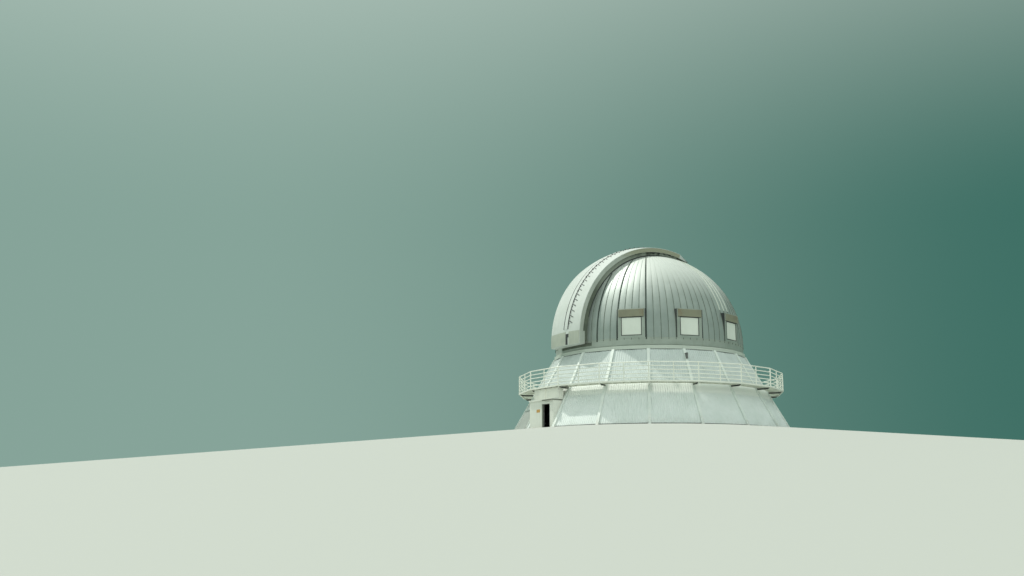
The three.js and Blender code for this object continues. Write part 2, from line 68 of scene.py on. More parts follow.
def claddingHeight(radius):
    return house["legTopZ"] - (radius + house["inset"] - house["legTopRadius"]) / house["slope"]


# Points nearer than this are merged, and edges sharper than these angles show as edges
meshLimits = {"merge": 1e-5, "flat": 32.0, "round": 50.0}


# Mesh helpers
def tidyMesh(mesh, sharpAngle=meshLimits["flat"]):
    work = bmesh.new()
    work.from_mesh(mesh)
    bmesh.ops.remove_doubles(work, verts=work.verts, dist=meshLimits["merge"])
    bmesh.ops.recalc_face_normals(work, faces=work.faces)
    limit = math.radians(sharpAngle)
    for edge in work.edges:
        edge.smooth = len(edge.link_faces) == 2 and edge.calc_face_angle() < limit
    for face in work.faces:
        face.smooth = True
    work.to_mesh(mesh)
    work.free()


def placePiece(name, mesh, body, material, turned=False):
    if turned:
        mesh.transform(Matrix.Rotation(math.radians(house["turn"]), 4, "Z"))
    piece = bpy.data.objects.new(name, mesh)
    scene.collection.objects.link(piece)
    if material is not None:
        mesh.materials.clear()
        mesh.materials.append(material)
    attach(piece, body)
    return piece


# A solid is its points and faces, so that several solids can be put in one piece
def meshOfSolids(name, solids):
    points = []
    faces = []
    for solidPoints, solidFaces in solids:
        start = len(points)
        points.extend(tuple(point) for point in solidPoints)
        faces.extend(tuple(start + index for index in face) for face in solidFaces)
    mesh = bpy.data.meshes.new(name)
    mesh.from_pydata(points, [], faces)
    return mesh


def solidPiece(name, solids, body, material, turned=False, sharpAngle=meshLimits["flat"]):
    mesh = meshOfSolids(name, solids)
    tidyMesh(mesh, sharpAngle)
    return placePiece(name, mesh, body, material, turned)


# Joins rings of points, each with the same count, into one closed form
def loftSolid(rings, closed=False):
    count = len(rings[0])
    points = [point for ring in rings for point in ring]
    faces = []
    total = len(rings)
    for ring in range(total if closed else total - 1):
        here = ring * count
        there = (ring + 1) % total * count
        for i in range(count):
            j = (i + 1) % count
            faces.append((here + i, here + j, there + j, there + i))
    if not closed:
        last = (total - 1) * count
        faces.append(tuple(range(count)))
        faces.append(tuple(range(last + count - 1, last - 1, -1)))
    return points, faces


def sweepSolid(profile, stations, closed=False):
    rings = [[place + across * u + up * v for u, v in profile] for place, across, up in stations]
    return loftSolid(rings, closed)


def radialStations(bearings):
    return [(Vector((0, 0, 0)), atBearing(1.0, bearing, 0.0), Vector((0, 0, 1))) for bearing in bearings]


def boxSolid(low, high):
    (ax, ay, az), (bx, by, bz) = low, high
    points = [Vector((x, y, z)) for z in (az, bz) for x, y in ((ax, ay), (bx, ay), (bx, by), (ax, by))]
    faces = [(0, 3, 2, 1), (4, 5, 6, 7), (0, 1, 5, 4), (1, 2, 6, 5), (2, 3, 7, 6), (3, 0, 4, 7)]
    return points, faces


def turnedSolid(solid, bearing):
    turn = Matrix.Rotation(math.radians(bearing), 3, "Z")
    return [turn @ Vector(point) for point in solid[0]], solid[1]


# Geometry Nodes helpers
def newTree(name, inputs):
    tree = bpy.data.node_groups.new(name, "GeometryNodeTree")
    tree.interface.new_socket(name="Guides", in_out="INPUT", socket_type="NodeSocketGeometry")
    for label, kind in inputs.items():
        tree.interface.new_socket(name=label, in_out="INPUT", socket_type=kind)
    tree.interface.new_socket(name="Result", in_out="OUTPUT", socket_type="NodeSocketGeometry")
    entry = tree.nodes.new("NodeGroupInput")
    exit = tree.nodes.new("NodeGroupOutput")
    return tree, entry, exit


def addNode(tree, kind, links=None, **settings):
    node = tree.nodes.new(kind)
    for key, value in settings.items():
        setattr(node, key, value)
    for key, source in (links or {}).items():
        socket = node.inputs[key]
        if isinstance(source, bpy.types.NodeSocket):
            tree.links.new(source, socket)
        else:
            socket.default_value = source
    return node


def outwardAttribute(tree):
    node = addNode(tree, "GeometryNodeInputNamedAttribute", {"Name": "outward"}, data_type="FLOAT_VECTOR")
    return next(socket for socket in node.outputs if socket.enabled)


def closeTree(tree, geometry, material, exit):
    realized = addNode(tree, "GeometryNodeRealizeInstances", {"Geometry": geometry})
    painted = addNode(tree, "GeometryNodeSetMaterial", {
        "Geometry": realized.outputs[0], "Material": material,
    })
    tree.links.new(painted.outputs[0], exit.inputs[0])


def makeBarTree():
    tree, entry, exit = newTree("barsAlongLines", {
        "Width": "NodeSocketFloat", "Top Width": "NodeSocketFloat", "Height": "NodeSocketFloat",
        "Material": "NodeSocketMaterial",
    })
    line = addNode(tree, "GeometryNodeMeshToCurve", {"Mesh": entry.outputs["Guides"]})
    facing = addNode(tree, "GeometryNodeSetCurveNormal", {"Curve": line.outputs[0]}, mode="FREE")
    tree.links.new(outwardAttribute(tree), facing.inputs["Normal"])
    section = addNode(tree, "GeometryNodeCurvePrimitiveQuadrilateral", mode="TRAPEZOID")
    section.inputs["Offset"].default_value = 0.0
    tree.links.new(entry.outputs["Height"], section.inputs["Height"])
    tree.links.new(entry.outputs["Width"], section.inputs["Bottom Width"])
    tree.links.new(entry.outputs["Top Width"], section.inputs["Top Width"])
    half = addNode(tree, "ShaderNodeMath", {0: entry.outputs["Height"], 1: 0.5}, operation="MULTIPLY")
    lift = addNode(tree, "ShaderNodeCombineXYZ", {"X": half.outputs[0]})
    stood = addNode(tree, "GeometryNodeTransform", {
        "Geometry": section.outputs[0], "Translation": lift.outputs[0], "Rotation": (0.0, 0.0, -math.pi / 2),
    })
    bars = addNode(tree, "GeometryNodeCurveToMesh", {
        "Curve": facing.outputs[0], "Profile Curve": stood.outputs[0], "Fill Caps": True,
    })
    closeTree(tree, bars.outputs[0], entry.outputs["Material"], exit)
    return tree


def makePipeTree():
    tree, entry, exit = newTree("pipesAlongLines", {
        "Radius": "NodeSocketFloat", "Sides": "NodeSocketInt", "Material": "NodeSocketMaterial",
    })
    line = addNode(tree, "GeometryNodeMeshToCurve", {"Mesh": entry.outputs["Guides"]})
    section = addNode(tree, "GeometryNodeCurvePrimitiveCircle", mode="RADIUS")
    tree.links.new(entry.outputs["Radius"], section.inputs["Radius"])
    tree.links.new(entry.outputs["Sides"], section.inputs["Resolution"])
    pipes = addNode(tree, "GeometryNodeCurveToMesh", {
        "Curve": line.outputs[0], "Profile Curve": section.outputs[0], "Fill Caps": True,
    })
    closeTree(tree, pipes.outputs[0], entry.outputs["Material"], exit)
    return tree


def makeBoltTree():
    tree, entry, exit = newTree("boltsOnPoints", {
        "Radius": "NodeSocketFloat", "Height": "NodeSocketFloat", "Sides": "NodeSocketInt",
        "Material": "NodeSocketMaterial",
    })
    head = addNode(tree, "GeometryNodeMeshCylinder", {
        "Vertices": entry.outputs["Sides"], "Radius": entry.outputs["Radius"],
        "Depth": entry.outputs["Height"],
    })
    aim = addNode(tree, "FunctionNodeAlignRotationToVector", {"Vector": outwardAttribute(tree)}, axis="Z")
    placed = addNode(tree, "GeometryNodeInstanceOnPoints", {
        "Points": entry.outputs["Guides"], "Instance": head.outputs["Mesh"], "Rotation": aim.outputs[0],
    })
    closeTree(tree, placed.outputs[0], entry.outputs["Material"], exit)
    return tree


def makeRoundTree():
    tree, entry, exit = newTree("copiesRoundTheAxis", {
        "Pattern": "NodeSocketObject", "Material": "NodeSocketMaterial",
    })
    turn = addNode(tree, "GeometryNodeInputNamedAttribute", {"Name": "turn"}, data_type="FLOAT")
    angle = next(socket for socket in turn.outputs if socket.enabled)
    spin = addNode(tree, "ShaderNodeCombineXYZ", {"Z": angle})
    pattern = addNode(tree, "GeometryNodeObjectInfo", {"Object": entry.outputs["Pattern"]})
    placed = addNode(tree, "GeometryNodeInstanceOnPoints", {
        "Points": entry.outputs["Guides"], "Instance": pattern.outputs["Geometry"],
        "Rotation": spin.outputs[0],
    })
    closeTree(tree, placed.outputs[0], entry.outputs["Material"], exit)
    return tree


trees = {"bars": makeBarTree(), "pipes": makePipeTree(), "bolts": makeBoltTree(), "round": makeRoundTree()}


def bakedMesh(name, guides, tree, values, sharpAngle):
    holder = bpy.data.objects.new(name, guides)
    scene.collection.objects.link(holder)
    modifier = holder.modifiers.new(tree.name, "NODES")
    modifier.node_group = tree
    sockets = {item.name: item.identifier for item in tree.interface.items_tree if item.in_out == "INPUT"}
    for label, value in values.items():
        modifier[sockets[label]] = value
    graph = bpy.context.evaluated_depsgraph_get()
    mesh = bpy.data.meshes.new_from_object(holder.evaluated_get(graph))
    holder.modifiers.remove(modifier)
    bpy.data.objects.remove(holder)
    tidyMesh(mesh, sharpAngle)
    mesh.name = name
    return mesh


# Each line is a list of points and one outward direction, or one direction for each point
def guideLines(name, lines):
    points = []
    edges = []
    outward = []
    for line, direction in lines:
        start = len(points)
        points.extend(tuple(point) for point in line)
        edges.extend((start + i, start + i + 1) for i in range(len(line) - 1))
        directions = direction if isinstance(direction, list) else [direction] * len(line)
        for item in directions:
            outward.extend(item)
    mesh = bpy.data.meshes.new(name)
    mesh.from_pydata(points, edges, [])
    mesh.attributes.new("outward", "FLOAT_VECTOR", "POINT").data.foreach_set("vector", outward)
    return mesh


def bars(name, lines, width, height, body, slotName, material, topWidth=None, turned=False):
    values = {"Width": width, "Top Width": width if topWidth is None else topWidth, "Height": height,
              "Material": material}
    mesh = bakedMesh(name, guideLines(name, lines), trees["bars"], values, meshLimits["flat"])
    return placePiece(name, mesh, body, material, turned)


def pipes(name, lines, radius, sides, body, slotName, material, turned=False):
    values = {"Radius": radius, "Sides": sides, "Material": material}
    mesh = bakedMesh(name, guideLines(name, lines), trees["pipes"], values, meshLimits["round"])
    return placePiece(name, mesh, body, material, turned)


boltSides = 6


def bolts(name, places, radius, height, body, material, turned=False):
    mesh = bpy.data.meshes.new(name)
    mesh.from_pydata([tuple(point) for point, _ in places], [], [])
    outward = [value for _, direction in places for value in direction]
    mesh.attributes.new("outward", "FLOAT_VECTOR", "POINT").data.foreach_set("vector", outward)
    values = {"Radius": radius, "Height": height, "Sides": boltSides, "Material": material}
    baked = bakedMesh(name, mesh, trees["bolts"], values, meshLimits["round"])
    return placePiece(name, baked, body, material, turned)


def aroundAxis(name, solids, bearings, body, material, turned=False):
    patternMesh = meshOfSolids(name + "Pattern", solids)
    pattern = bpy.data.objects.new(name + "Pattern", patternMesh)
    scene.collection.objects.link(pattern)
    spots = bpy.data.meshes.new(name)
    spots.from_pydata([(0.0, 0.0, 0.0)] * len(bearings), [], [])
    turns = [math.radians(bearing) for bearing in bearings]
    spots.attributes.new("turn", "FLOAT", "POINT").data.foreach_set("value", turns)
    values = {"Pattern": pattern, "Material": material}
    mesh = bakedMesh(name, spots, trees["round"], values, meshLimits["flat"])
    bpy.data.objects.remove(pattern)
    return placePiece(name, mesh, body, material, turned)


# Shader node groups
def newShaderGroup(name, inputs, outputs):
    group = bpy.data.node_groups.new(name, "ShaderNodeTree")
    for label, (kind, value) in inputs.items():
        socket = group.interface.new_socket(name=label, in_out="INPUT", socket_type=kind)
        if value is not None:
            socket.default_value = value
    for label, kind in outputs.items():
        group.interface.new_socket(name=label, in_out="OUTPUT", socket_type=kind)
    return group, group.nodes.new("NodeGroupInput"), group.nodes.new("NodeGroupOutput")


def rangeNode(tree, source, low, high):
    node = addNode(tree, "ShaderNodeMapRange", {"Value": source, "From Min": low, "From Max": high})
    node.interpolation_type = "SMOOTHSTEP"
    return node.outputs[0]


def makeStreakGroup():
    group, entry, exit = newShaderGroup("rainStreaks", {
        "Vector": ("NodeSocketVector", None), "Scale": ("NodeSocketFloat", 4.0),
        "Stretch": ("NodeSocketFloat", 0.06), "Low": ("NodeSocketFloat", 0.5),
        "High": ("NodeSocketFloat", 0.75),
    }, {"Mask": "NodeSocketFloat"})
    squeeze = addNode(group, "ShaderNodeCombineXYZ", {"X": 1.0, "Y": 1.0, "Z": entry.outputs["Stretch"]})
    flat = addNode(group, "ShaderNodeVectorMath", {0: entry.outputs["Vector"], 1: squeeze.outputs[0]},
                   operation="MULTIPLY")
    noise = addNode(group, "ShaderNodeTexNoise", {
        "Vector": flat.outputs[0], "Scale": entry.outputs["Scale"], "Detail": 6.0, "Roughness": 0.62,
    })
    mask = addNode(group, "ShaderNodeMapRange", {
        "Value": noise.outputs[0], "From Min": entry.outputs["Low"], "From Max": entry.outputs["High"],
    })
    mask.interpolation_type = "SMOOTHSTEP"
    group.links.new(mask.outputs[0], exit.inputs["Mask"])
    return group


def makeGrimeGroup():
    group, entry, exit = newShaderGroup("patchyGrime", {
        "Vector": ("NodeSocketVector", None), "Scale": ("NodeSocketFloat", 1.2),
        "Fine Scale": ("NodeSocketFloat", 14.0),
    }, {"Mask": "NodeSocketFloat", "Fine": "NodeSocketFloat"})
    broad = addNode(group, "ShaderNodeTexNoise", {
        "Vector": entry.outputs["Vector"], "Scale": entry.outputs["Scale"], "Detail": 5.0, "Roughness": 0.6,
    })
    fine = addNode(group, "ShaderNodeTexNoise", {
        "Vector": entry.outputs["Vector"], "Scale": entry.outputs["Fine Scale"], "Detail": 4.0,
        "Roughness": 0.65,
    })
    group.links.new(rangeNode(group, broad.outputs[0], 0.35, 0.7), exit.inputs["Mask"])
    group.links.new(fine.outputs[0], exit.inputs["Fine"])
    return group


# A random tone for each strip of sheet round the dome
def makeStripGroup():
    group, entry, exit = newShaderGroup("sheetTone", {
        "Vector": ("NodeSocketVector", None), "Strips": ("NodeSocketFloat", 84.0),
        "Seed": ("NodeSocketFloat", 3.0),
    }, {"Tone": "NodeSocketFloat"})
    split = addNode(group, "ShaderNodeSeparateXYZ", {0: entry.outputs["Vector"]})
    back = addNode(group, "ShaderNodeMath", {0: split.outputs["Y"], 1: -1.0}, operation="MULTIPLY")
    angle = addNode(group, "ShaderNodeMath", {0: split.outputs["X"], 1: back.outputs[0]}, operation="ARCTAN2")
    share = addNode(group, "ShaderNodeMath", {0: angle.outputs[0], 1: 1.0 / (2 * math.pi)},
                    operation="MULTIPLY")
    count = addNode(group, "ShaderNodeMath", {0: share.outputs[0], 1: entry.outputs["Strips"]},
                    operation="MULTIPLY")
    step = addNode(group, "ShaderNodeMath", {0: count.outputs[0]}, operation="FLOOR")
    seeded = addNode(group, "ShaderNodeMath", {0: step.outputs[0], 1: entry.outputs["Seed"]}, operation="ADD")
    tone = addNode(group, "ShaderNodeTexWhiteNoise", {"W": seeded.outputs[0]}, noise_dimensions="1D")
    group.links.new(tone.outputs["Value"], exit.inputs["Tone"])
    return group


# Rust and dirt that gather in a band of height; on the slit girders the band is painted shade at the crest
def makeHeightGroup():
    group, entry, exit = newShaderGroup("heightBand", {
        "Vector": ("NodeSocketVector", None), "Full At": ("NodeSocketFloat", 0.0),
        "None At": ("NodeSocketFloat", 1.0), "Break Up": ("NodeSocketFloat", 5.0),
    }, {"Mask": "NodeSocketFloat"})
    split = addNode(group, "ShaderNodeSeparateXYZ", {0: entry.outputs["Vector"]})
    band = addNode(group, "ShaderNodeMapRange", {
        "Value": split.outputs["Z"], "From Min": entry.outputs["None At"],
        "From Max": entry.outputs["Full At"],
    })
    noise = addNode(group, "ShaderNodeTexNoise", {
        "Vector": entry.outputs["Vector"], "Scale": entry.outputs["Break Up"], "Detail": 5.0,
        "Roughness": 0.7,
    })
    blotch = rangeNode(group, noise.outputs[0], 0.4, 0.62)
    mask = addNode(group, "ShaderNodeMath", {0: band.outputs[0], 1: blotch}, operation="MULTIPLY")
    group.links.new(mask.outputs[0], exit.inputs["Mask"])
    return group


# A mask that rises between two heights; the tone it brings in is mostly painted light and shade by height
def makeRiseGroup():
    group, entry, exit = newShaderGroup("heightToneAndPaintedLight", {
        "Vector": ("NodeSocketVector", None), "Low": ("NodeSocketFloat", 0.0),
        "High": ("NodeSocketFloat", 1.0),
    }, {"Mask": "NodeSocketFloat"})
    split = addNode(group, "ShaderNodeSeparateXYZ", {0: entry.outputs["Vector"]})
    mask = addNode(group, "ShaderNodeMapRange", {
        "Value": split.outputs["Z"], "From Min": entry.outputs["Low"], "From Max": entry.outputs["High"],
    })
    mask.interpolation_type = "SMOOTHSTEP"
    group.links.new(mask.outputs[0], exit.inputs["Mask"])
    return group


shaderGroups = {
    "streaks": makeStreakGroup(), "grime": makeGrimeGroup(), "strips": makeStripGroup(),
    "height": makeHeightGroup(), "rise": makeRiseGroup(),
}


def placeGroup(tree, kind, links):
    node = tree.nodes.new("ShaderNodeGroup")
    node.node_tree = shaderGroups[kind]
    for label, source in links.items():
        if isinstance(source, bpy.types.NodeSocket):
            tree.links.new(source, node.inputs[label])
        else:
            node.inputs[label].default_value = source
    return node


def mixColour(tree, factor, first, second):
    node = tree.nodes.new("ShaderNodeMix")
    node.data_type = "RGBA"
    for socket, source in ((node.inputs[0], factor), (node.inputs[6], first), (node.inputs[7], second)):
        if isinstance(source, bpy.types.NodeSocket):
            tree.links.new(source, socket)
        else:
            socket.default_value = (*source, 1.0) if isinstance(source, tuple) else source
    return node.outputs[2]


def scaled(tree, source, amount):
    return addNode(tree, "ShaderNodeMath", {0: source, 1: amount}, operation="MULTIPLY").outputs[0]


# What a finish has unless it says otherwise
weather = {
    "metallic": 0.0, "specular": 0.5, "grimeScale": 0.8, "fineScale": 14.0, "streaks": 0.4,
    "streakScale": 5.0, "streakStretch": 0.06, "streakLow": 0.5, "streakHigh": 0.78, "bandBreak": 5.0,
    "bump": 0.15, "bumpDepth": 0.01,
}


# One recipe for every finish: colour, grime, streaks, strips, painted light and shade by height, and a height
# band that is dirt near the ground and painted shade at the slit's crest
def weatheredMaterial(name, finish):
    spec = {**weather, **finish}
    material = bpy.data.materials.new(name)
    material.use_nodes = True
    tree = material.node_tree
    shader = tree.nodes["Principled BSDF"]
    shader.inputs["Metallic"].default_value = spec["metallic"]
    shader.inputs["Specular IOR Level"].default_value = spec["specular"]
    place = tree.nodes.new("ShaderNodeTexCoord").outputs["Object"]
    grime = placeGroup(tree, "grime", {
        "Vector": place, "Scale": spec["grimeScale"], "Fine Scale": spec["fineScale"],
    })
    streaks = placeGroup(tree, "streaks", {
        "Vector": place, "Scale": spec["streakScale"], "Stretch": spec["streakStretch"],
        "Low": spec["streakLow"], "High": spec["streakHigh"],
    })
    colour = mixColour(tree, grime.outputs["Mask"], spec["colour"], spec["grimeColour"])
    colour = mixColour(tree, scaled(tree, streaks.outputs["Mask"], spec["streaks"]), colour,
                       spec["streakColour"])
    if "strips" in spec:
        strips = placeGroup(tree, "strips", {"Vector": place, "Strips": spec["strips"]})
        colour = mixColour(tree, scaled(tree, strips.outputs["Tone"], spec["stripAmount"]), colour,
                           spec["stripColour"])
    if "rise" in spec:
        rise = placeGroup(tree, "rise", {"Vector": place, "Low": spec["rise"][0], "High": spec["rise"][1]})
        colour = mixColour(tree, rise.outputs["Mask"], colour, spec["riseColour"])
        if "riseMetallic" in spec:
            metal = addNode(tree, "ShaderNodeMapRange", {
                "Value": rise.outputs["Mask"], "To Min": spec["metallic"], "To Max": spec["riseMetallic"],
            })
            tree.links.new(metal.outputs[0], shader.inputs["Metallic"])
    if "band" in spec:
        band = placeGroup(tree, "height", {
            "Vector": place, "Full At": spec["band"][0], "None At": spec["band"][1],
            "Break Up": spec["bandBreak"],
        })
        share = scaled(tree, band.outputs["Mask"], spec["band"][2])
        colour = mixColour(tree, share, colour, spec["bandColour"])
    tree.links.new(colour, shader.inputs["Base Color"])
    rough = addNode(tree, "ShaderNodeMapRange", {
        "Value": grime.outputs["Fine"], "To Min": spec["rough"][0], "To Max": spec["rough"][1],
    })
    tree.links.new(rough.outputs[0], shader.inputs["Roughness"])
    bump = addNode(tree, "ShaderNodeBump", {
        "Height": grime.outputs["Fine"], "Strength": spec["bump"], "Distance": spec["bumpDepth"],
    })
    tree.links.new(bump.outputs[0], shader.inputs["Normal"])
    return material


finishes = {
    # Lower cladding: painted light, lighter just under the deck for the sunlit band there; darker near the
    # ground
    "cladding": {
        "colour": (0.76, 0.81, 0.79), "grimeColour": (0.69, 0.75, 0.72), "streakColour": (0.54, 0.58, 0.54),
        "streaks": 0.3, "streakScale": 3.0, "streakStretch": 0.05, "rough": (0.42, 0.6),
        "rise": (2.45, 2.75), "riseColour": (0.88, 0.91, 0.87), "band": (0.0, 0.6, 0.4),
        "bandColour": (0.46, 0.47, 0.41),
    },
    "upperCladding": {
        "colour": (0.62, 0.68, 0.66), "grimeColour": (0.56, 0.62, 0.60), "streakColour": (0.44, 0.48, 0.45),
        "streaks": 0.35, "streakScale": 3.0, "streakStretch": 0.05, "rough": (0.42, 0.6),
    },
    "porchPaint": {
        "colour": (0.82, 0.83, 0.76), "grimeColour": (0.76, 0.77, 0.70), "streakColour": (0.60, 0.60, 0.52),
        "streaks": 0.3, "rough": (0.42, 0.6), "band": (0.0, 0.5, 0.35), "bandColour": (0.52, 0.50, 0.43),
    },
    "greyPanel": {
        "colour": (0.36, 0.39, 0.36), "grimeColour": (0.31, 0.34, 0.31), "streakColour": (0.25, 0.27, 0.24),
        "rough": (0.45, 0.6),
    },
    # Grey trim: the door jamb, and the painted shade of the canopy edge over the door
    "greyTrimAndShade": {
        "colour": (0.19, 0.20, 0.165), "grimeColour": (0.15, 0.16, 0.13), "streakColour": (0.11, 0.11, 0.09),
        "rough": (0.5, 0.7),
    },
    "whiteSteel": {
        "colour": (0.79, 0.84, 0.80), "grimeColour": (0.70, 0.76, 0.72), "streakColour": (0.52, 0.54, 0.47),
        "streaks": 0.3, "rough": (0.38, 0.58), "band": (0.0, 0.9, 0.55), "bandColour": (0.40, 0.36, 0.28),
        "rise": (6.25, 6.32), "riseColour": (0.53, 0.58, 0.52),
    },
    # Dome sheet: lighter and less metallic towards the top; the lighter colour is painted light on the sunlit
    # top
    "domeSheet": {
        "colour": (0.51, 0.56, 0.53), "grimeColour": (0.44, 0.49, 0.46), "streakColour": (0.35, 0.38, 0.36),
        "streaks": 0.3, "streakScale": 1.6, "streakStretch": 0.12, "metallic": 0.72, "rough": (0.52, 0.66),
        "strips": 84.0, "stripAmount": 0.4, "stripColour": (0.39, 0.44, 0.42), "bump": 0.08,
        "rise": (10.6, 13.6), "riseColour": (0.58, 0.62, 0.585), "riseMetallic": 0.35,
    },
    "domeFrame": {
        "colour": (0.50, 0.54, 0.49), "grimeColour": (0.42, 0.46, 0.41), "streakColour": (0.34, 0.34, 0.28),
        "streaks": 0.4, "metallic": 0.55, "rough": (0.42, 0.58), "bump": 0.08,
    },
    # Seam covers: dark joints, painted near-black and wide enough to take in the shade beside them; lighter
    # near the top as painted light
    "seam": {
        "colour": (0.075, 0.095, 0.082), "grimeColour": (0.06, 0.075, 0.065),
        "streakColour": (0.05, 0.06, 0.05), "streaks": 0.4, "specular": 0.1, "rough": (0.8, 0.95),
        "rise": (13.2, 15.4), "riseColour": (0.22, 0.25, 0.21),
    },
    # Sheet joints: dark joints, lighter towards the top as painted light, like the sheet
    "joint": {
        "colour": (0.19, 0.22, 0.185), "grimeColour": (0.15, 0.18, 0.15), "streakColour": (0.12, 0.14, 0.11),
        "streaks": 0.4, "specular": 0.2, "rough": (0.7, 0.85), "rise": (10.4, 13.8),
        "riseColour": (0.60, 0.64, 0.60),
    },
    # Shutter sheet: darker towards the top, painted shade that tones down the sunlit crown
    "shutterSheet": {
        "colour": (0.66, 0.70, 0.67), "grimeColour": (0.61, 0.65, 0.61), "streakColour": (0.46, 0.49, 0.44),
        "streaks": 0.35, "streakScale": 1.6, "streakStretch": 0.2, "metallic": 0.1, "rough": (0.6, 0.75),
        "bump": 0.08, "specular": 0.3, "rise": (9.5, 14.5), "riseColour": (0.52, 0.56, 0.535),
    },
    # Shutter sides: painted shade, a darker sheet than the faces, turning darker and olive near the crest
    "shutterSideShade": {
        "colour": (0.45, 0.49, 0.44), "grimeColour": (0.39, 0.43, 0.38), "streakColour": (0.30, 0.31, 0.25),
        "streaks": 0.4, "streakScale": 1.6, "streakStretch": 0.2, "rough": (0.6, 0.75), "bump": 0.08,
        "specular": 0.3, "rise": (14.3, 15.3), "riseColour": (0.31, 0.32, 0.235),
    },
    "shutterFoot": {
        "colour": (0.56, 0.58, 0.50), "grimeColour": (0.48, 0.51, 0.44), "streakColour": (0.36, 0.36, 0.30),
        "streaks": 0.4, "metallic": 0.3, "rough": (0.42, 0.56),
    },
    "ventWhite": {
        "colour": (0.75, 0.79, 0.72), "grimeColour": (0.70, 0.74, 0.67), "streakColour": (0.56, 0.56, 0.47),
        "streaks": 0.25, "rough": (0.35, 0.5),
    },
    "hood": {
        "colour": (0.29, 0.29, 0.21), "grimeColour": (0.24, 0.23, 0.17), "streakColour": (0.26, 0.16, 0.08),
        "streaks": 0.6, "streakScale": 2.2, "streakStretch": 0.6, "rough": (0.5, 0.7), "metallic": 0.2,
    },
    # Near-black: painted shade in gaps, slots, webs and shadow lines, and small black parts such as the
    # rollers
    "blackAndPaintedShade": {
        "colour": (0.035, 0.04, 0.04), "grimeColour": (0.05, 0.055, 0.055),
        "streakColour": (0.02, 0.02, 0.02), "rough": (0.6, 0.8),
    },
    "slitShade": {
        "colour": (0.15, 0.175, 0.135), "grimeColour": (0.10, 0.12, 0.095),
        "streakColour": (0.06, 0.07, 0.055), "specular": 0.2, "rough": (0.6, 0.8),
        "rise": (11.2, 13.0), "riseColour": (0.27, 0.30, 0.25),
        "band": (15.3, 14.5, 1.0), "bandColour": (0.05, 0.055, 0.045), "bandBreak": 1.6,
    },
    # Dark metal: door frame, lamp and clips; also the painted clip shadows on the shutter
    "darkMetalAndPaintedShadow": {
        "colour": (0.13, 0.14, 0.14), "grimeColour": (0.18, 0.18, 0.17), "streakColour": (0.2, 0.12, 0.07),
        "rough": (0.45, 0.65), "metallic": 0.3,
    },
    "concrete": {
        "colour": (0.42, 0.41, 0.38), "grimeColour": (0.33, 0.32, 0.29), "streakColour": (0.26, 0.25, 0.23),
        "rough": (0.8, 0.95), "bump": 0.5, "fineScale": 30.0, "specular": 0.3,
    },
    "deckSteel": {
        "colour": (0.86, 0.88, 0.80), "grimeColour": (0.78, 0.80, 0.72), "streakColour": (0.56, 0.54, 0.44),
        "streaks": 0.3, "rough": (0.45, 0.65),
    },
    "deckPlate": {
        "colour": (0.50, 0.54, 0.51), "grimeColour": (0.43, 0.46, 0.43), "streakColour": (0.34, 0.34, 0.29),
        "streaks": 0.4, "rough": (0.5, 0.7),
    },
    "signOrange": {
        "colour": (0.60, 0.34, 0.10), "grimeColour": (0.54, 0.32, 0.11), "streakColour": (0.42, 0.26, 0.11),
        "streaks": 0.3, "rough": (0.45, 0.6),
    },
}
paint = {name: weatheredMaterial(name, spec) for name, spec in finishes.items()}
print("materials made:", len(paint))


def paintNodes(material, *names):
    for name in names:
        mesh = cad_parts[name].data
        mesh.materials.clear()
        mesh.materials.append(material)


thirds = ("south_east", "north", "south_west")
paintNodes(paint["concrete"], "ground_floor")
paintNodes(paint["cladding"], "entrance_bay", "lower_wall_east", "lower_wall_north", "lower_wall_west")
paintNodes(paint["upperCladding"], *("upper_wall_" + place for place in thirds))
paintNodes(paint["whiteSteel"], *("leg_frame_" + place for place in thirds))
paintNodes(paint["porchPaint"], "porch_front", "porch_side_left", "porch_side_right", "porch_roof")
paintNodes(paint["whiteSteel"], "entrance_door")
paintNodes(paint["darkMetalAndPaintedShadow"], "door_frame", "wall_lamp")
paintNodes(paint["signOrange"], "sign_plate")
paintNodes(paint["domeFrame"], *("vent_frame_%d" % (i + 1) for i in range(len(dome["vents"]))))
paintNodes(paint["ventWhite"], *("vent_door_%d" % (i + 1) for i in range(len(dome["vents"]))))
paintNodes(paint["slitShade"], "slit_girder_left", "slit_girder_right", "slit_sill")
paintNodes(paint["domeFrame"], "slit_header")


# A bay's flat wall: its outward direction, its direction along the wall, and a point on its face
slopeShare = house["slope"] * math.cos(math.radians(bayAngle / 2))


def bayAxes(bay):
    angle = math.radians(bay * bayAngle)
    outward = Vector((math.sin(angle), -math.cos(angle), 0.0))
    along = Vector((math.cos(angle), math.sin(angle), 0.0))
    normal = (outward + Vector((0, 0, slopeShare))).normalized()
    return outward, along, normal


def onBay(bay, along, z, lift=0.0):
    outward, side, normal = bayAxes(bay)
    flat = claddingRadius(z) * math.cos(math.radians(bayAngle / 2))
    return outward * flat + side * along + Vector((0, 0, z)) + normal * lift


cladding = {
    "pitch": 0.183, "rib": 0.11, "ribTop": 0.06, "height": 0.028, "edge": 0.06, "split": 0.035, "ends": 0.05,
    "shortest": 0.12, "porchSide": 0.08, "porchTop": 0.06, "smoothBay": 4,
}
porch = {"half": 1.65, "front": -11.3, "top": 2.3, "roof": 0.1, "overhang": 0.1}


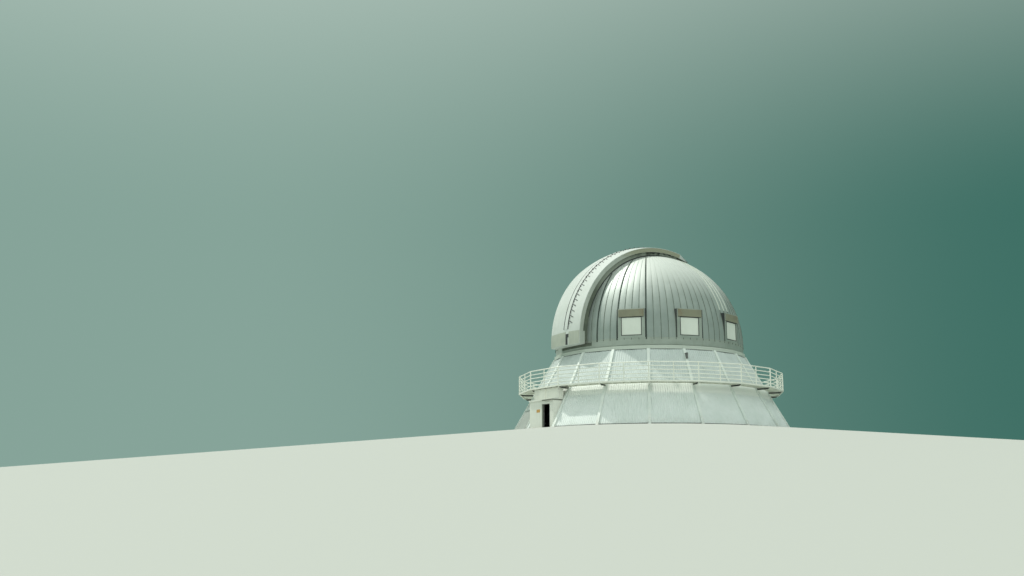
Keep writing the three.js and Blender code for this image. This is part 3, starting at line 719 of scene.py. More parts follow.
def claddingRibs(bottom, top, porchCut):
    lines = []
    margin = house["legWidth"] / 2 + cladding["edge"]
    for bay in range(house["bays"]):
        if porchCut and bay == cladding["smoothBay"]:
            continue
        normal = bayAxes(bay)[2]
        widest = claddingRadius(bottom) * math.sin(math.radians(bayAngle / 2)) - margin
        count = int(widest / cladding["pitch"])
        for step in range(-count, count + 1):
            along = step * cladding["pitch"]
            reach = (abs(along) + margin) / math.sin(math.radians(bayAngle / 2))
            end = min(top, claddingHeight(reach))
            start = bottom
            if porchCut and bay == 0 and abs(along) < porch["half"] + cladding["porchSide"]:
                start = porch["top"] + porch["roof"] + cladding["porchTop"]
            if end - start > cladding["shortest"]:
                lines.append(([onBay(bay, along, start), onBay(bay, along, end)], normal))
    return lines


lowerRibs = claddingRibs(house["floorTop"] + cladding["ends"], house["deckTop"] - cladding["split"], True)
upperRibs = claddingRibs(house["deckTop"] + cladding["split"], house["curbBottom"] - cladding["ends"], False)
for name, ribs, coat in (
    ("cladding_ribs_lower", lowerRibs, "cladding"), ("cladding_ribs_upper", upperRibs, "upperCladding"),
):
    bars(name, ribs, cladding["rib"], cladding["height"], "building", "corrugated_cladding", paint[coat],
         topWidth=cladding["ribTop"], turned=True)
print("cladding ribs made")

# Legs: bolts down both edges
legTrim = {
    "boltPitch": 0.45, "boltRadius": 0.022, "boltHeight": 0.016, "boltInset": 0.05, "firstBolt": 0.3,
    "endBolt": 0.1,
}


def legPoint(corner, z, side, lift=0.0):
    bearing = (corner + 0.5) * bayAngle
    angle = math.radians(bearing)
    outward = Vector((math.sin(angle), -math.cos(angle), 0.0))
    across = Vector((math.cos(angle), math.sin(angle), 0.0))
    normal = (outward + Vector((0, 0, house["slope"]))).normalized()
    return outward * legRadius(z) + across * side + Vector((0, 0, z)) + normal * lift, normal


legBolts = []
for corner in range(house["bays"]):
    for side in (-1, 1):
        z = legTrim["firstBolt"]
        while z < house["curbBottom"] - legTrim["endBolt"]:
            legBolts.append(legPoint(corner, z, side * (house["legWidth"] / 2 - legTrim["boltInset"])))
            z += legTrim["boltPitch"]
bolts("leg_bolts", legBolts, legTrim["boltRadius"], legTrim["boltHeight"], "building",
      paint["whiteSteel"], turned=True)

# Painted shadow: the dark slot under the curb, and a dark strip along the foot of each wall but the porch's
shadowStrips = {
    "curb_shadow_slot": {
        "bays": range(house["bays"]), "z": house["curbBottom"] - 0.03, "widthAt": house["curbBottom"],
        "short": 0.16, "width": 0.05, "height": 0.012,
    },
    "base_shadow_strip": {
        "bays": range(1, house["bays"]), "z": 0.065, "widthAt": 0.05, "short": 0.13, "width": 0.13,
        "height": 0.01,
    },
}
for name, strip in shadowStrips.items():
    lines = []
    for bay in strip["bays"]:
        half = claddingRadius(strip["widthAt"]) * math.sin(math.radians(bayAngle / 2)) - strip["short"]
        lines.append(([onBay(bay, -half, strip["z"]), onBay(bay, half, strip["z"])], bayAxes(bay)[2]))
    bars(name, lines, strip["width"], strip["height"], "building", "dark_metal", paint["blackAndPaintedShade"],
         turned=True)

# A plain grey sheet beside the porch, and a plate on the leg next to it
greySheet = {
    "bay": 17, "halfLow": 1.86, "halfHigh": 1.7, "low": 0.13, "high": 1.9, "lift": 0.032, "thick": 0.012,
    "legHalf": 0.108, "legLifts": (0.002, 0.012),
}
sheetRings = []
for lift in (greySheet["lift"], greySheet["lift"] + greySheet["thick"]):
    sheetRings.append([onBay(greySheet["bay"], along, z, lift) for along, z in (
        (-greySheet["halfLow"], greySheet["low"]), (greySheet["halfLow"], greySheet["low"]),
        (greySheet["halfHigh"], greySheet["high"]), (-greySheet["halfHigh"], greySheet["high"]),
    )])
legRings = []
legHalf = greySheet["legHalf"]
for lift in greySheet["legLifts"]:
    legRings.append([legPoint(greySheet["bay"], z, side, lift)[0] for side, z in (
        (-legHalf, greySheet["low"]), (legHalf, greySheet["low"]), (legHalf, greySheet["high"]),
        (-legHalf, greySheet["high"]),
    )])
solidPiece("lower_wall_grey_sheet", [loftSolid(sheetRings), loftSolid(legRings)], "building",
           paint["greyPanel"], turned=True)
print("legs and curb made")

# Porch: a closed box up to the balcony, a canopy edge over the door painted dark as the shade under it, and a
# grey jamb
porchTrim = {
    "boxFront": -10.85, "boxEnd": -10.3, "split": -0.15, "low": 2.4003, "high": 3.3, "sheet": 0.08,
    "jamb": (0.1, 0.268), "jambTop": 2.02, "jambReach": 0.02, "jambLift": 0.01, "canopy": (2.245, 2.335),
    "canopyFrom": 0.27, "reach": 0.035, "step": 0.06,
}


def porchDressing():
    half = porch["half"]
    front = porchTrim["boxFront"]
    end = porchTrim["boxEnd"]
    low = porchTrim["low"]
    high = porchTrim["high"]
    sheet = porchTrim["sheet"]
    step = porchTrim["step"]
    box = solidPiece("porch_upper_box", [
        boxSolid((-half, front, low), (porchTrim["split"], front + sheet, high)),
        boxSolid((porchTrim["split"] + apart, front + step, low), (half, front + step + sheet, high)),
        boxSolid((half - sheet, front + step + apart + sheet, low), (half, end, high)),
        boxSolid((-half, front + sheet + apart, low), (-half + sheet, end, high)),
    ], "building", paint["porchPaint"], turned=True)
    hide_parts("porch_parapet")
    canopyLow, canopyHigh = porchTrim["canopy"]
    reach = porchTrim["reach"]
    roofEdge = porch["front"] - porch["overhang"]
    solidPiece("porch_canopy_edge", [
        boxSolid((porchTrim["canopyFrom"], roofEdge - reach, canopyLow),
                 (half + reach, roofEdge - apart, canopyHigh)),
        boxSolid((half + apart, roofEdge, canopyLow), (half + reach, end, canopyHigh)),
    ], "building", paint["greyTrimAndShade"], turned=True)
    jambFrom, jambTo = porchTrim["jamb"]
    jambLow = (jambFrom, porch["front"] - porchTrim["jambReach"], house["floorTop"] + porchTrim["jambLift"])
    jambHigh = (jambTo, porch["front"] - apart, porchTrim["jambTop"])
    solidPiece("porch_door_jamb", [boxSolid(jambLow, jambHigh)], "building", paint["greyTrimAndShade"],
               turned=True)


porchDressing()

# Balcony: plates on joists, with channels round both edges and a bracket at each leg
deck = {
    "inner": 10.05, "outer": 11.25, "thickness": 0.12, "plate": 0.012, "web": 0.014, "flange": 0.07,
    "joistWidth": 0.06, "joistShares": (-0.62, -0.2, 0.2, 0.62), "joistGap": 0.01, "joistShort": 0.012,
    "worn": 0.003, "sheetGap": 0.0002,
}
bracket = {
    "foot": 0.29, "width": 0.1, "flange": 0.022, "short": 0.1, "stand": 0.002, "nose": 0.25,
    "noseDrop": 0.07, "noseThick": 0.02, "noseLap": 0.005, "noseFoot": 0.01, "webHalf": 0.012,
    "webShort": 0.04, "webSlant": 0.2,
}
corners = [(k + 0.5) * bayAngle for k in range(house["bays"])]
deckBottom = house["deckTop"] - deck["thickness"]
plateBottom = house["deckTop"] - deck["plate"]


def channelProfile(edge, inwards):
    web = deck["web"]
    tip = edge + inwards * deck["flange"]
    inner = edge + inwards * web
    points = [
        (edge, deckBottom), (tip, deckBottom), (tip, deckBottom + web), (inner, deckBottom + web),
        (inner, plateBottom - web), (tip, plateBottom - web), (tip, plateBottom), (edge, plateBottom),
    ]
    return points


ring = radialStations(corners)


# A flat sheet over the whole deck, between two heights
def deckSheet(low, high):
    inner = deck["inner"]
    outer = deck["outer"]
    return sweepSolid([(inner, low), (outer, low), (outer, high), (inner, high)], ring, closed=True)


wornTop = house["deckTop"] - deck["worn"]
deckSolids = [
    deckSheet(plateBottom, wornTop - deck["sheetGap"]),
    sweepSolid(channelProfile(deck["outer"], -1), ring, closed=True),
    sweepSolid(channelProfile(deck["inner"], 1), ring, closed=True),
]
deckPiece = solidPiece("balcony_deck", deckSolids, "building", paint["deckSteel"], turned=True)
solidPiece("balcony_walkway", [deckSheet(wornTop, house["deckTop"])], "building",
           paint["deckPlate"], turned=True)
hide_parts(*("balcony_deck_" + place for place in thirds))

joistLines = []
apothem = math.cos(math.radians(bayAngle / 2))
for bay in range(house["bays"]):
    outward, along, _ = bayAxes(bay)
    width = deck["inner"] * math.sin(math.radians(bayAngle / 2))
    for share in deck["joistShares"]:
        side = along * share * width
        near = outward * (deck["inner"] * apothem + deck["joistGap"]) + side
        far = outward * (deck["outer"] * apothem - deck["joistGap"]) + side
        level = Vector((0, 0, deckBottom + deck["joistGap"]))
        joistLines.append(([near + level, far + level], Vector((0, 0, 1))))
joistHeight = deck["thickness"] - deck["plate"] - deck["joistShort"]
bars("balcony_joists", joistLines, deck["joistWidth"], joistHeight, "building", "white_steel",
     paint["deckSteel"], turned=True)


# Each bracket is a beam with pale flanges and a web painted near-black as painted shade
def bracketPlates(fromX, toX):
    return [(Vector((x, 0, 0)), Vector((0, -1, 0)), Vector((0, 0, 1))) for x in (fromX, toX)]


def legFace(z):
    return legRadius(z) + bracket["stand"]


def bracketFlanges():
    foot = house["deckTop"] - bracket["foot"]
    reach = deck["outer"] - bracket["short"]
    half = bracket["width"] / 2
    thick = bracket["flange"]
    noseStart = reach - bracket["nose"]
    noseBack = reach - bracket["noseThick"]
    noseTop = deckBottom - bracket["noseDrop"]
    under = deckBottom - thick - apart
    solids = []
    for low in (foot, deckBottom - thick):
        end = noseStart if low == foot else reach
        outline = [(legFace(low), low), (end, low), (end, low + thick), (legFace(low + thick), low + thick)]
        solids.append(sweepSolid(outline, bracketPlates(-half, half)))
    nose = [(noseStart, foot), (reach, noseTop), (reach, under), (noseBack, under),
            (noseBack, noseTop - bracket["noseLap"]), (noseStart - bracket["noseFoot"], foot)]
    solids.append(sweepSolid(nose, bracketPlates(-half, half)))
    return solids


def bracketWeb():
    low = house["deckTop"] - bracket["foot"] + bracket["flange"] + apart
    high = deckBottom - bracket["flange"] - apart
    reach = deck["outer"] - bracket["short"] - bracket["webShort"]
    outline = [(legFace(low), low), (reach - bracket["webSlant"], low), (reach, high), (legFace(high), high)]
    return [sweepSolid(outline, bracketPlates(-bracket["webHalf"], bracket["webHalf"]))]


aroundAxis("balcony_bracket_flanges", bracketFlanges(), corners, "building",
           paint["deckSteel"], turned=True)
aroundAxis("balcony_bracket_webs", bracketWeb(), corners, "building", paint["blackAndPaintedShade"],
           turned=True)
print("balcony deck made")

# Railing
railing = {
    "top": 4.9, "inset": 0.06, "rows": 5, "pitch": 0.3, "pipe": 0.036, "topPipe": 0.043, "post": 0.044,
    "cornerPost": 0.05, "sides": 8, "foot": 0.002,
}
railRadius = deck["outer"] - railing["inset"]


def railLoop(z):
    loop = [atBearing(railRadius, bearing, z) for bearing in corners]
    return loop + [loop[0]]


railHeights = [railing["top"] - railing["topPipe"] - row * railing["pitch"] for row in range(railing["rows"])]
railLines = []
for z in railHeights[1:]:
    loop = railLoop(z)
    railLines.extend(([loop[i], loop[i + 1]], Vector((0, 0, 1))) for i in range(len(loop) - 1))
topLoop = railLoop(railHeights[0])
topLines = [([topLoop[i], topLoop[i + 1]], Vector((0, 0, 1))) for i in range(len(topLoop) - 1)]


def railPosts(radius, firstBearing):
    lines = []
    for k in range(house["bays"]):
        spot = atBearing(radius, firstBearing + k * bayAngle, 0)
        low = spot + Vector((0, 0, house["deckTop"] + railing["foot"]))
        high = spot + Vector((0, 0, railing["top"] - railing["topPipe"]))
        lines.append(([low, high], Vector((1, 0, 0))))
    return lines


railPiece = pipes("railing_rails", railLines, railing["pipe"], railing["sides"], "building", "white_steel",
                  paint["deckSteel"], turned=True)
for name, lines, radius in (
    ("railing_top_rail", topLines, railing["topPipe"]),
    ("railing_posts", railPosts(railRadius * apothem, 0.0), railing["post"]),
    ("railing_corner_posts", railPosts(railRadius, bayAngle / 2), railing["cornerPost"]),
):
    pipes(name, lines, radius, railing["sides"], "building", "white_steel", paint["deckSteel"], turned=True)
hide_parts(*("railing_" + place for place in thirds))
print("railing made")

# Dome skin: a closed shell with the slit and the vents cut out
skin = {
    "strips": 84, "columnsInStrip": 6, "rows": 30, "innerRows": 8, "bulge": 0.018, "endRadius": 0.8,
    "ventHalf": 1.1003, "ventTop": 9.5503, "clear": 0.0003, "cutLow": 7.0, "cutTop": 16.5, "slitCut": 8.6,
    "ventOuter": 8.4, "ventInner": 7.1, "fadeStart": 0.35,
}


# Each strip of sheet bulges a little between its joints
def skinSolid():
    bottom = dome["rimTop"] + skin["clear"]
    columns = skin["strips"] * skin["columnsInStrip"]
    rings = []
    for radius, rows, bulge in (
        (dome["radius"], skin["rows"], skin["bulge"]),
        (dome["radius"] - dome["thickness"], skin["innerRows"], 0.0),
    ):
        low = math.asin((bottom - dome["centreZ"]) / radius)
        high = math.acos(skin["endRadius"] / radius)
        shell = []
        for row in range(rows + 1):
            angle = low + (high - low) * row / rows
            ring = []
            for column in range(columns):
                share = (column % skin["columnsInStrip"]) / skin["columnsInStrip"]
                fading = math.sin(math.pi * min(1.0, row / rows + skin["fadeStart"]))
                reach = radius + bulge * 4 * share * (1 - share) * fading
                height = dome["centreZ"] + reach * math.sin(angle)
                ring.append(atBearing(reach * math.cos(angle), column * 360.0 / columns, height))
            shell.append(ring)
        rings.extend(shell if not rings else shell[::-1])
    return loftSolid(rings, closed=True)


def cutMesh(name, solid, cutters):
    pieces = []
    for label, solids in ((name, [solid]), (name + "Cutter", cutters)):
        mesh = meshOfSolids(label, solids)
        tidyMesh(mesh)
        pieces.append(bpy.data.objects.new(label, mesh))
        scene.collection.objects.link(pieces[-1])
    modifier = pieces[0].modifiers.new("cut", "BOOLEAN")
    modifier.object = pieces[1]
    modifier.operation = "DIFFERENCE"
    modifier.solver = "EXACT"
    graph = bpy.context.evaluated_depsgraph_get()
    mesh = bpy.data.meshes.new_from_object(pieces[0].evaluated_get(graph))
    for piece in pieces:
        bpy.data.objects.remove(piece)
    tidyMesh(mesh)
    return mesh


ventBearings = [gore * goreAngle for gore in dome["vents"]]
slitSide = dome["slitHalf"] + skin["clear"]
cutLow = (-slitSide, -skin["slitCut"], skin["cutLow"])
cutHigh = (slitSide, dome["slitRear"], skin["cutTop"])
holeLow = (-skin["ventHalf"], -skin["ventOuter"], skin["cutLow"])
holeHigh = (skin["ventHalf"], -skin["ventInner"], skin["ventTop"])
cutters = [boxSolid(cutLow, cutHigh)]
cutters.extend(turnedSolid(boxSolid(holeLow, holeHigh), bearing) for bearing in ventBearings)
skinMesh = cutMesh("dome_skin", skinSolid(), cutters)
skinPiece = placePiece("dome_skin", skinMesh, "dome", paint["domeSheet"])
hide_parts(*("shell_panel_%d" % (i + 1) for i in range(7)))
print("dome skin made:", len(skinMesh.polygons), "faces")

# Seams over the sheets: a cover strip between gores, and finer joints inside each gore
seams = {
    "cover": 0.115, "coverTop": 0.08, "coverHeight": 0.045, "joint": 0.05, "jointTop": 0.03,
    "jointHeight": 0.03, "jointsInGore": 4, "jointTopAngle": 80.0, "coverTopAngle": 83.5, "foot": 7.06,
    "steps": 60, "sink": 0.002, "slitEdge": 0.06, "rearEdge": 0.04, "coverFoot": 0.05, "jointFoot": 0.035,
    "jointMargin": 0.02, "footMargin": 0.1,
    "covered": (1.25, 2.0, 3.0, 18.0, 19.0, 19.75),
}


def blocked(point, margin):
    besideSlit = dome["slitHalf"] + seams["slitEdge"] + margin
    behindSlit = dome["slitRear"] + seams["rearEdge"] + margin
    if abs(point.x) < besideSlit and point.y < behindSlit:
        return True
    if point.z < skin["ventTop"] + margin:
        for bearing in ventBearings:
            angle = math.radians(bearing)
            along = point.x * math.cos(angle) + point.y * math.sin(angle)
            outwards = point.x * math.sin(angle) - point.y * math.cos(angle)
            if outwards > 0 and abs(along) < skin["ventHalf"] + margin:
                return True
    return False


def meridianLines(bearing, topAngle, margin):
    lines = []
    run = []
    low = math.asin((dome["rimTop"] - dome["centreZ"]) / dome["radius"])
    high = math.radians(topAngle)
    for step in range(seams["steps"] + 1):
        angle = low + (high - low) * step / seams["steps"]
        direction = atBearing(math.cos(angle), bearing, math.sin(angle))
        point = direction * (dome["radius"] - seams["sink"]) + Vector((0, 0, dome["centreZ"]))
        if blocked(point, margin):
            if len(run) > 1:
                lines.append(run)
            run = []
        else:
            run.append((point, direction))
    if len(run) > 1:
        lines.append(run)
    return [([point for point, _ in run], [direction for _, direction in run]) for run in lines]


coverLines = []
jointLines = []
for step in range(dome["gores"] * seams["jointsInGore"]):
    place = step / seams["jointsInGore"]
    if place in seams["covered"]:
        coverLines.extend(meridianLines(place * goreAngle, seams["coverTopAngle"], 0.0))
    else:
        jointLines.extend(meridianLines(place * goreAngle, seams["jointTopAngle"], seams["jointMargin"]))
bars("dome_seam_covers", coverLines, seams["cover"], seams["coverHeight"], "dome", "dome_aluminium",
     paint["seam"], topWidth=seams["coverTop"])
bars("dome_sheet_joints", jointLines, seams["joint"], seams["jointHeight"], "dome", "dome_aluminium",
     paint["joint"], topWidth=seams["jointTop"])

# Painted highlights: three thin bright strips over the seams beside a vent, where standing ribs catch the
# light
highlightStrip = {"places": (6.0, 6.25, 6.5), "fromZ": 9.7, "topAngle": 62.0, "width": 0.07, "height": 0.055}
highlightLines = []
for place in highlightStrip["places"]:
    for line, directions in meridianLines(place * goreAngle, highlightStrip["topAngle"], seams["jointMargin"]):
        kept = [i for i, point in enumerate(line) if point.z > highlightStrip["fromZ"]]
        highlightLines.append(([line[i] for i in kept], [directions[i] for i in kept]))
bars("dome_bright_strips", highlightLines, highlightStrip["width"], highlightStrip["height"], "dome", "dome_aluminium",
     paint["ventWhite"])

# Rim: a plain band with a lip at its top and a drip edge at its foot
rim = {
    "inner": 7.8, "drip": 7.995, "band": 8.01, "outer": 8.03, "bottom": 6.6003, "top": 7.2197, "sides": 126,
    "dripLow": 0.02, "dripHigh": 0.06, "bandLow": 0.075, "bandHigh": 0.06, "lip": 0.05, "sharp": 25.0,
}
rimProfile = [
    (rim["inner"], rim["bottom"]), (rim["drip"], rim["bottom"]),
    (rim["outer"], rim["bottom"] + rim["dripLow"]), (rim["outer"], rim["bottom"] + rim["dripHigh"]),
    (rim["band"], rim["bottom"] + rim["bandLow"]), (rim["band"], rim["top"] - rim["bandHigh"]),
    (rim["outer"], rim["top"] - rim["lip"]), (rim["outer"], rim["top"]), (rim["inner"], rim["top"]),
]
rimStations = radialStations([i * 360.0 / rim["sides"] for i in range(rim["sides"])])
rimPiece = solidPiece("dome_rim_band", [sweepSolid(rimProfile, rimStations, closed=True)], "dome",
                      paint["domeFrame"], sharpAngle=rim["sharp"])
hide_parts("dome_rim")


# The seams end on the rim
def rimFeet(covered):
    lines = []
    for step in range(dome["gores"] * seams["jointsInGore"]):
        if (step / seams["jointsInGore"] in seams["covered"]) != covered:
            continue
        bearing = step / seams["jointsInGore"] * goreAngle
        foot = atBearing(rim["band"] - seams["sink"], bearing, seams["foot"])
        if abs(foot.x) > dome["slitHalf"] + seams["footMargin"] or foot.y > 0:
            top = atBearing(rim["band"] - seams["sink"], bearing, rim["top"])
            lines.append(([foot, top], atBearing(1.0, bearing, 0.0)))
    return lines


bars("dome_seam_feet", rimFeet(True), seams["cover"], seams["coverFoot"], "dome", "dome_aluminium",
     paint["seam"], topWidth=seams["coverTop"])
bars("dome_joint_feet", rimFeet(False), seams["joint"], seams["jointFoot"], "dome", "dome_aluminium",
     paint["joint"], topWidth=seams["jointTop"])

# Under the shutters' foot the rim lies in deep shade, painted as a dark band over it
footShade = {
    "from": -11.5, "to": 17.5, "low": 6.79, "high": 7.055, "inner": 8.011, "outer": 8.036, "steps": 16,
}
shadeProfile = [(footShade["inner"], footShade["low"]), (footShade["outer"], footShade["low"]),
                (footShade["outer"], footShade["high"]), (footShade["inner"], footShade["high"])]
shadeBearings = [footShade["from"] + (footShade["to"] - footShade["from"]) * i / footShade["steps"]
                 for i in range(footShade["steps"] + 1)]
solidPiece("slit_foot_seal", [sweepSolid(shadeProfile, radialStations(shadeBearings))], "dome",
           paint["slitShade"])
print("seams and rim made")

# Vents: a hood over each frame, a dark border in it, a trim on the panel, and painted shade under the hood
# and beside the frame
vent = {
    "half": 0.8, "low": 7.44, "high": 8.87, "front": 7.95, "border": 0.05, "recess": 0.03, "frameHalf": 1.1,
    "sheet": 0.012, "embed": 0.01, "inset": 0.11, "trim": 0.07, "sideShadow": 0.07, "sideClear": 0.0005,
    "sideLow": 7.2205, "sideBack": 7.55, "behind": 0.004,
}
hood = {
    "low": 8.94, "top": 9.55, "half": 1.02, "reach": 0.08, "side": 0.02, "drop": 0.02, "fold": 0.05,
    "foldBack": 0.03, "lap": 0.005, "back": 0.04, "rise": 0.03, "shadowSide": 0.03, "shadowBack": 0.005,
    "shadowLow": 0.045, "shadowHigh": 0.004, "shadowFront": 0.02,
}
ventBolt = {
    "x": 0.98, "heights": (7.36, 7.7, 8.05, 8.4, 8.75), "radius": 0.02, "height": 0.016, "lift": 0.004,
}


def frameSolid(half, low, high, width, near, far):
    solids = []
    for ax, az, bx, bz in (
        (-half - width, low - width, half + width, low),
        (-half - width, high, half + width, high + width),
        (-half - width, low, -half, high),
        (half, low, half + width, high),
    ):
        solids.append(boxSolid((ax, -far, az), (bx, -near, bz)))
    return solids


def hoodSolids():
    front = vent["front"] + hood["reach"]
    back = vent["front"] - hood["back"]
    fold = front - hood["foldBack"]
    low = hood["low"] - hood["drop"]
    top = hood["top"]
    sheet = vent["sheet"]
    outline = [
        (front + apart, low), (front + sheet, low), (front + sheet, top - hood["fold"]), (fold, top + sheet),
        (back, top + hood["rise"]), (back, top + apart), (fold - hood["lap"], top + apart),
        (front + apart, top - hood["fold"] - hood["lap"]),
    ]
    half = hood["half"] + hood["side"]
    stations = [(Vector((x, 0, 0)), Vector((0, -1, 0)), Vector((0, 0, 1))) for x in (-half, half)]
    return [sweepSolid(outline, stations)]


# Painted shade: a dark strip under the hood
def hoodShadow():
    half = hood["half"] - hood["shadowSide"]
    low = (-half, -vent["front"] - hood["reach"] + hood["shadowBack"], hood["low"] - hood["shadowLow"])
    high = (half, -vent["front"] + hood["shadowFront"], hood["low"] - hood["shadowHigh"])
    return [boxSolid(low, high)]


# Painted shade: a dark strip beside each side of the frame
def sideShadows():
    solids = []
    for edge in (-vent["frameHalf"] - vent["sideShadow"], vent["frameHalf"] + vent["sideClear"]):
        low = (edge, -vent["front"] + vent["behind"], vent["sideLow"])
        high = (edge + vent["sideShadow"] - vent["sideClear"], -vent["sideBack"], hood["top"])
        solids.append(boxSolid(low, high))
    return solids


# A frame that starts a little behind a face and stands one sheet proud of it
def raisedFrame(inset, width, face):
    return frameSolid(vent["half"] - inset, vent["low"] + inset, vent["high"] - inset, width,
                      face - vent["embed"], face + vent["sheet"])


darkBorder = raisedFrame(vent["sheet"], vent["border"], vent["front"])
trim = raisedFrame(vent["inset"], vent["trim"], vent["front"] - vent["recess"])
for name, solids, slotName, coat in (
    ("vent_hoods", hoodSolids(), "dark_metal", "hood"),
    ("vent_gaskets", darkBorder, "dark_metal", "blackAndPaintedShade"),
    ("vent_panel_trims", trim, "vent_white", "ventWhite"),
    ("vent_hood_shadow_gaps", hoodShadow(), "dark_metal", "blackAndPaintedShade"),
    ("vent_side_gaps", sideShadows(), "dark_metal", "blackAndPaintedShade"),
):
    aroundAxis(name, solids, ventBearings, "dome", paint[coat])
ventBolts = []
for bearing in ventBearings:
    turn = Matrix.Rotation(math.radians(bearing), 3, "Z")
    for x in (-ventBolt["x"], ventBolt["x"]):
        for z in ventBolt["heights"]:
            place = Vector((x, -vent["front"] - ventBolt["lift"], z))
            ventBolts.append((turn @ place, turn @ Vector((0, -1, 0))))
bolts("vent_bolts", ventBolts, ventBolt["radius"], ventBolt["height"], "dome",
      paint["domeFrame"])
print("vents made")

# Shutters: a crowned plate swept over the arch, with a skirt, a cheek, a sloping rear end and a lip
shutter = {
    "centreY": -0.2, "outer": 8.45, "crown": 0.25, "plate": 0.08, "width": 2.1, "gap": 0.005, "skirt": 8.08,
    "skirtWidth": 0.06, "bottom": 6.96, "endAngle": 105.3, "rearAngle": 104.3, "skirtEndAngle": 109.5,
    "step": 1.8, "crownPoints": 9, "lipTop": 7.0597, "lipInner": -8.1, "cheekY": -8.1, "cheekTop": 8.02,
    "footRadius": 8.05, "footAngles": (110.0, 111.0), "jointX": 0.44, "shoulder": 0.04, "bevel": 0.012,
    "bevelLift": 0.002, "bevelDrop": 0.02, "weld": 0.01, "rearThick": 0.055, "rearShort": 0.02,
    "sharp": 28.0,
}


def crownAt(x):
    return shutter["crown"] * (1.0 - (x / shutter["width"]) ** 2)


# A place over the slit: the angle runs from the front, over the top, to the back
def overSlit(radius, angle, centreY, x=0.0):
    turn = math.radians(angle)
    return Vector((x, centreY - radius * math.cos(turn), dome["centreZ"] + radius * math.sin(turn)))


def archLine(radius, x, fromAngle, toAngle):
    line = []
    count = max(2, int(round((toAngle - fromAngle) / shutter["step"])))
    for i in range(count + 1):
        line.append(overSlit(radius, fromAngle + (toAngle - fromAngle) * i / count, shutter["centreY"], x))
    return line


# Places across one half, from the joint out to the given one
def acrossHalf(side, toX):
    start = side * shutter["jointX"] + shutter["gap"]
    count = shutter["crownPoints"]
    return [start + (toX - start) * i / count for i in range(count + 1)]


def plateRings(side):
    wide = shutter["width"]
    outer = shutter["outer"]
    skirtIn = wide - shutter["skirtWidth"]
    across = acrossHalf(side, wide - shutter["shoulder"])
    section = [(x, outer + crownAt(x)) for x in across]
    section += [(wide - shutter["bevel"], outer + shutter["bevelLift"]), (wide, outer - shutter["bevelDrop"]),
                (wide, shutter["skirt"]), (skirtIn, shutter["skirt"])]
    section += [(x, outer - shutter["plate"] + crownAt(x)) for x in across[::-1]]
    centre = Vector((0, shutter["centreY"], dome["centreZ"]))
    rings = []
    for drop in (dome["centreZ"] - shutter["bottom"], (dome["centreZ"] - shutter["bottom"]) / 2):
        rings.append([centre + Vector((side * x, -r, -drop)) for x, r in section])
    count = int(round(shutter["endAngle"] / shutter["step"]))
    for i in range(count + 1):
        turn = shutter["endAngle"] * i / count
        rings.append([overSlit(r, turn, shutter["centreY"], side * x) for x, r in section])
    return rings


# The box between two opposite corners, whichever is the lower
def boxBetween(one, other):
    return boxSolid([min(a, b) for a, b in zip(one, other)], [max(a, b) for a, b in zip(one, other)])


def shutterSolids(side):
    wide = shutter["width"] - apart
    skirtIn = shutter["width"] - shutter["skirtWidth"]
    weld = shutter["outer"] - shutter["plate"] + shutter["weld"]
    low = shutter["bottom"] + apart
    feet = [overSlit(shutter["footRadius"], angle, 0.0) for angle in shutter["footAngles"]]
    solids = [loftSolid(plateRings(side))]
    rearRings = []
    lipRings = []
    for x in acrossHalf(side, wide):
        top = weld + crownAt(x) + shutter["rearThick"]
        ring = [feet[0], feet[1],
                overSlit(top, shutter["endAngle"] - shutter["rearShort"], shutter["centreY"]),
                overSlit(top, shutter["rearAngle"], shutter["centreY"])]
        rearRings.append([Vector((side * x, point.y, point.z)) for point in ring])
        front = shutter["centreY"] - weld - crownAt(x)
        lipRings.append([Vector((side * x, y, z)) for y, z in (
            (front, low), (shutter["lipInner"], low), (shutter["lipInner"], shutter["lipTop"]),
            (front, shutter["lipTop"]),
        )])
    solids.append(loftSolid(rearRings))
    solids.append(loftSolid(lipRings))
    tail = archLine(shutter["skirt"], 0.0, shutter["endAngle"], shutter["skirtEndAngle"])
    tail += [feet[0], feet[1], overSlit(weld, shutter["endAngle"], shutter["centreY"])]
    solids.append(loftSolid([[Vector((side * x, p.y, p.z)) for p in tail] for x in (skirtIn, wide)]))
    cheekLow = (side * skirtIn, shutter["centreY"] - weld, low)
    cheekHigh = (side * wide, shutter["cheekY"], shutter["cheekTop"])
    solids.append(boxBetween(cheekLow, cheekHigh))
    return solids


for name, side in (("left", -1), ("right", 1)):
    piece = solidPiece("shutter_shell_" + name, shutterSolids(side), "shutter_" + name,
                       paint["shutterSheet"], sharpAngle=shutter["sharp"])
    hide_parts("shutter_" + name)


# A band of the crowned plate between two places on X, standing a little proud of it
def crownedBand(fromX, toX, lift, height, startZ, fromAngle, toAngle):
    xs = [fromX + (toX - fromX) * i / 3 for i in range(4)]
    section = [(x, shutter["outer"] + crownAt(x) + lift + height) for x in xs]
    section += [(x, shutter["outer"] + crownAt(x) + lift) for x in xs[::-1]]
    rings = []
    if startZ is not None:
        rings.append([Vector((x, shutter["centreY"] - r, startZ)) for x, r in section])
    count = max(1, int(round((toAngle - fromAngle) / shutter["step"])))
    for i in range(count + 1):
        turn = fromAngle + (toAngle - fromAngle) * i / count
        rings.append([overSlit(r, turn, shutter["centreY"], x) for x, r in section])
    return loftSolid(rings)


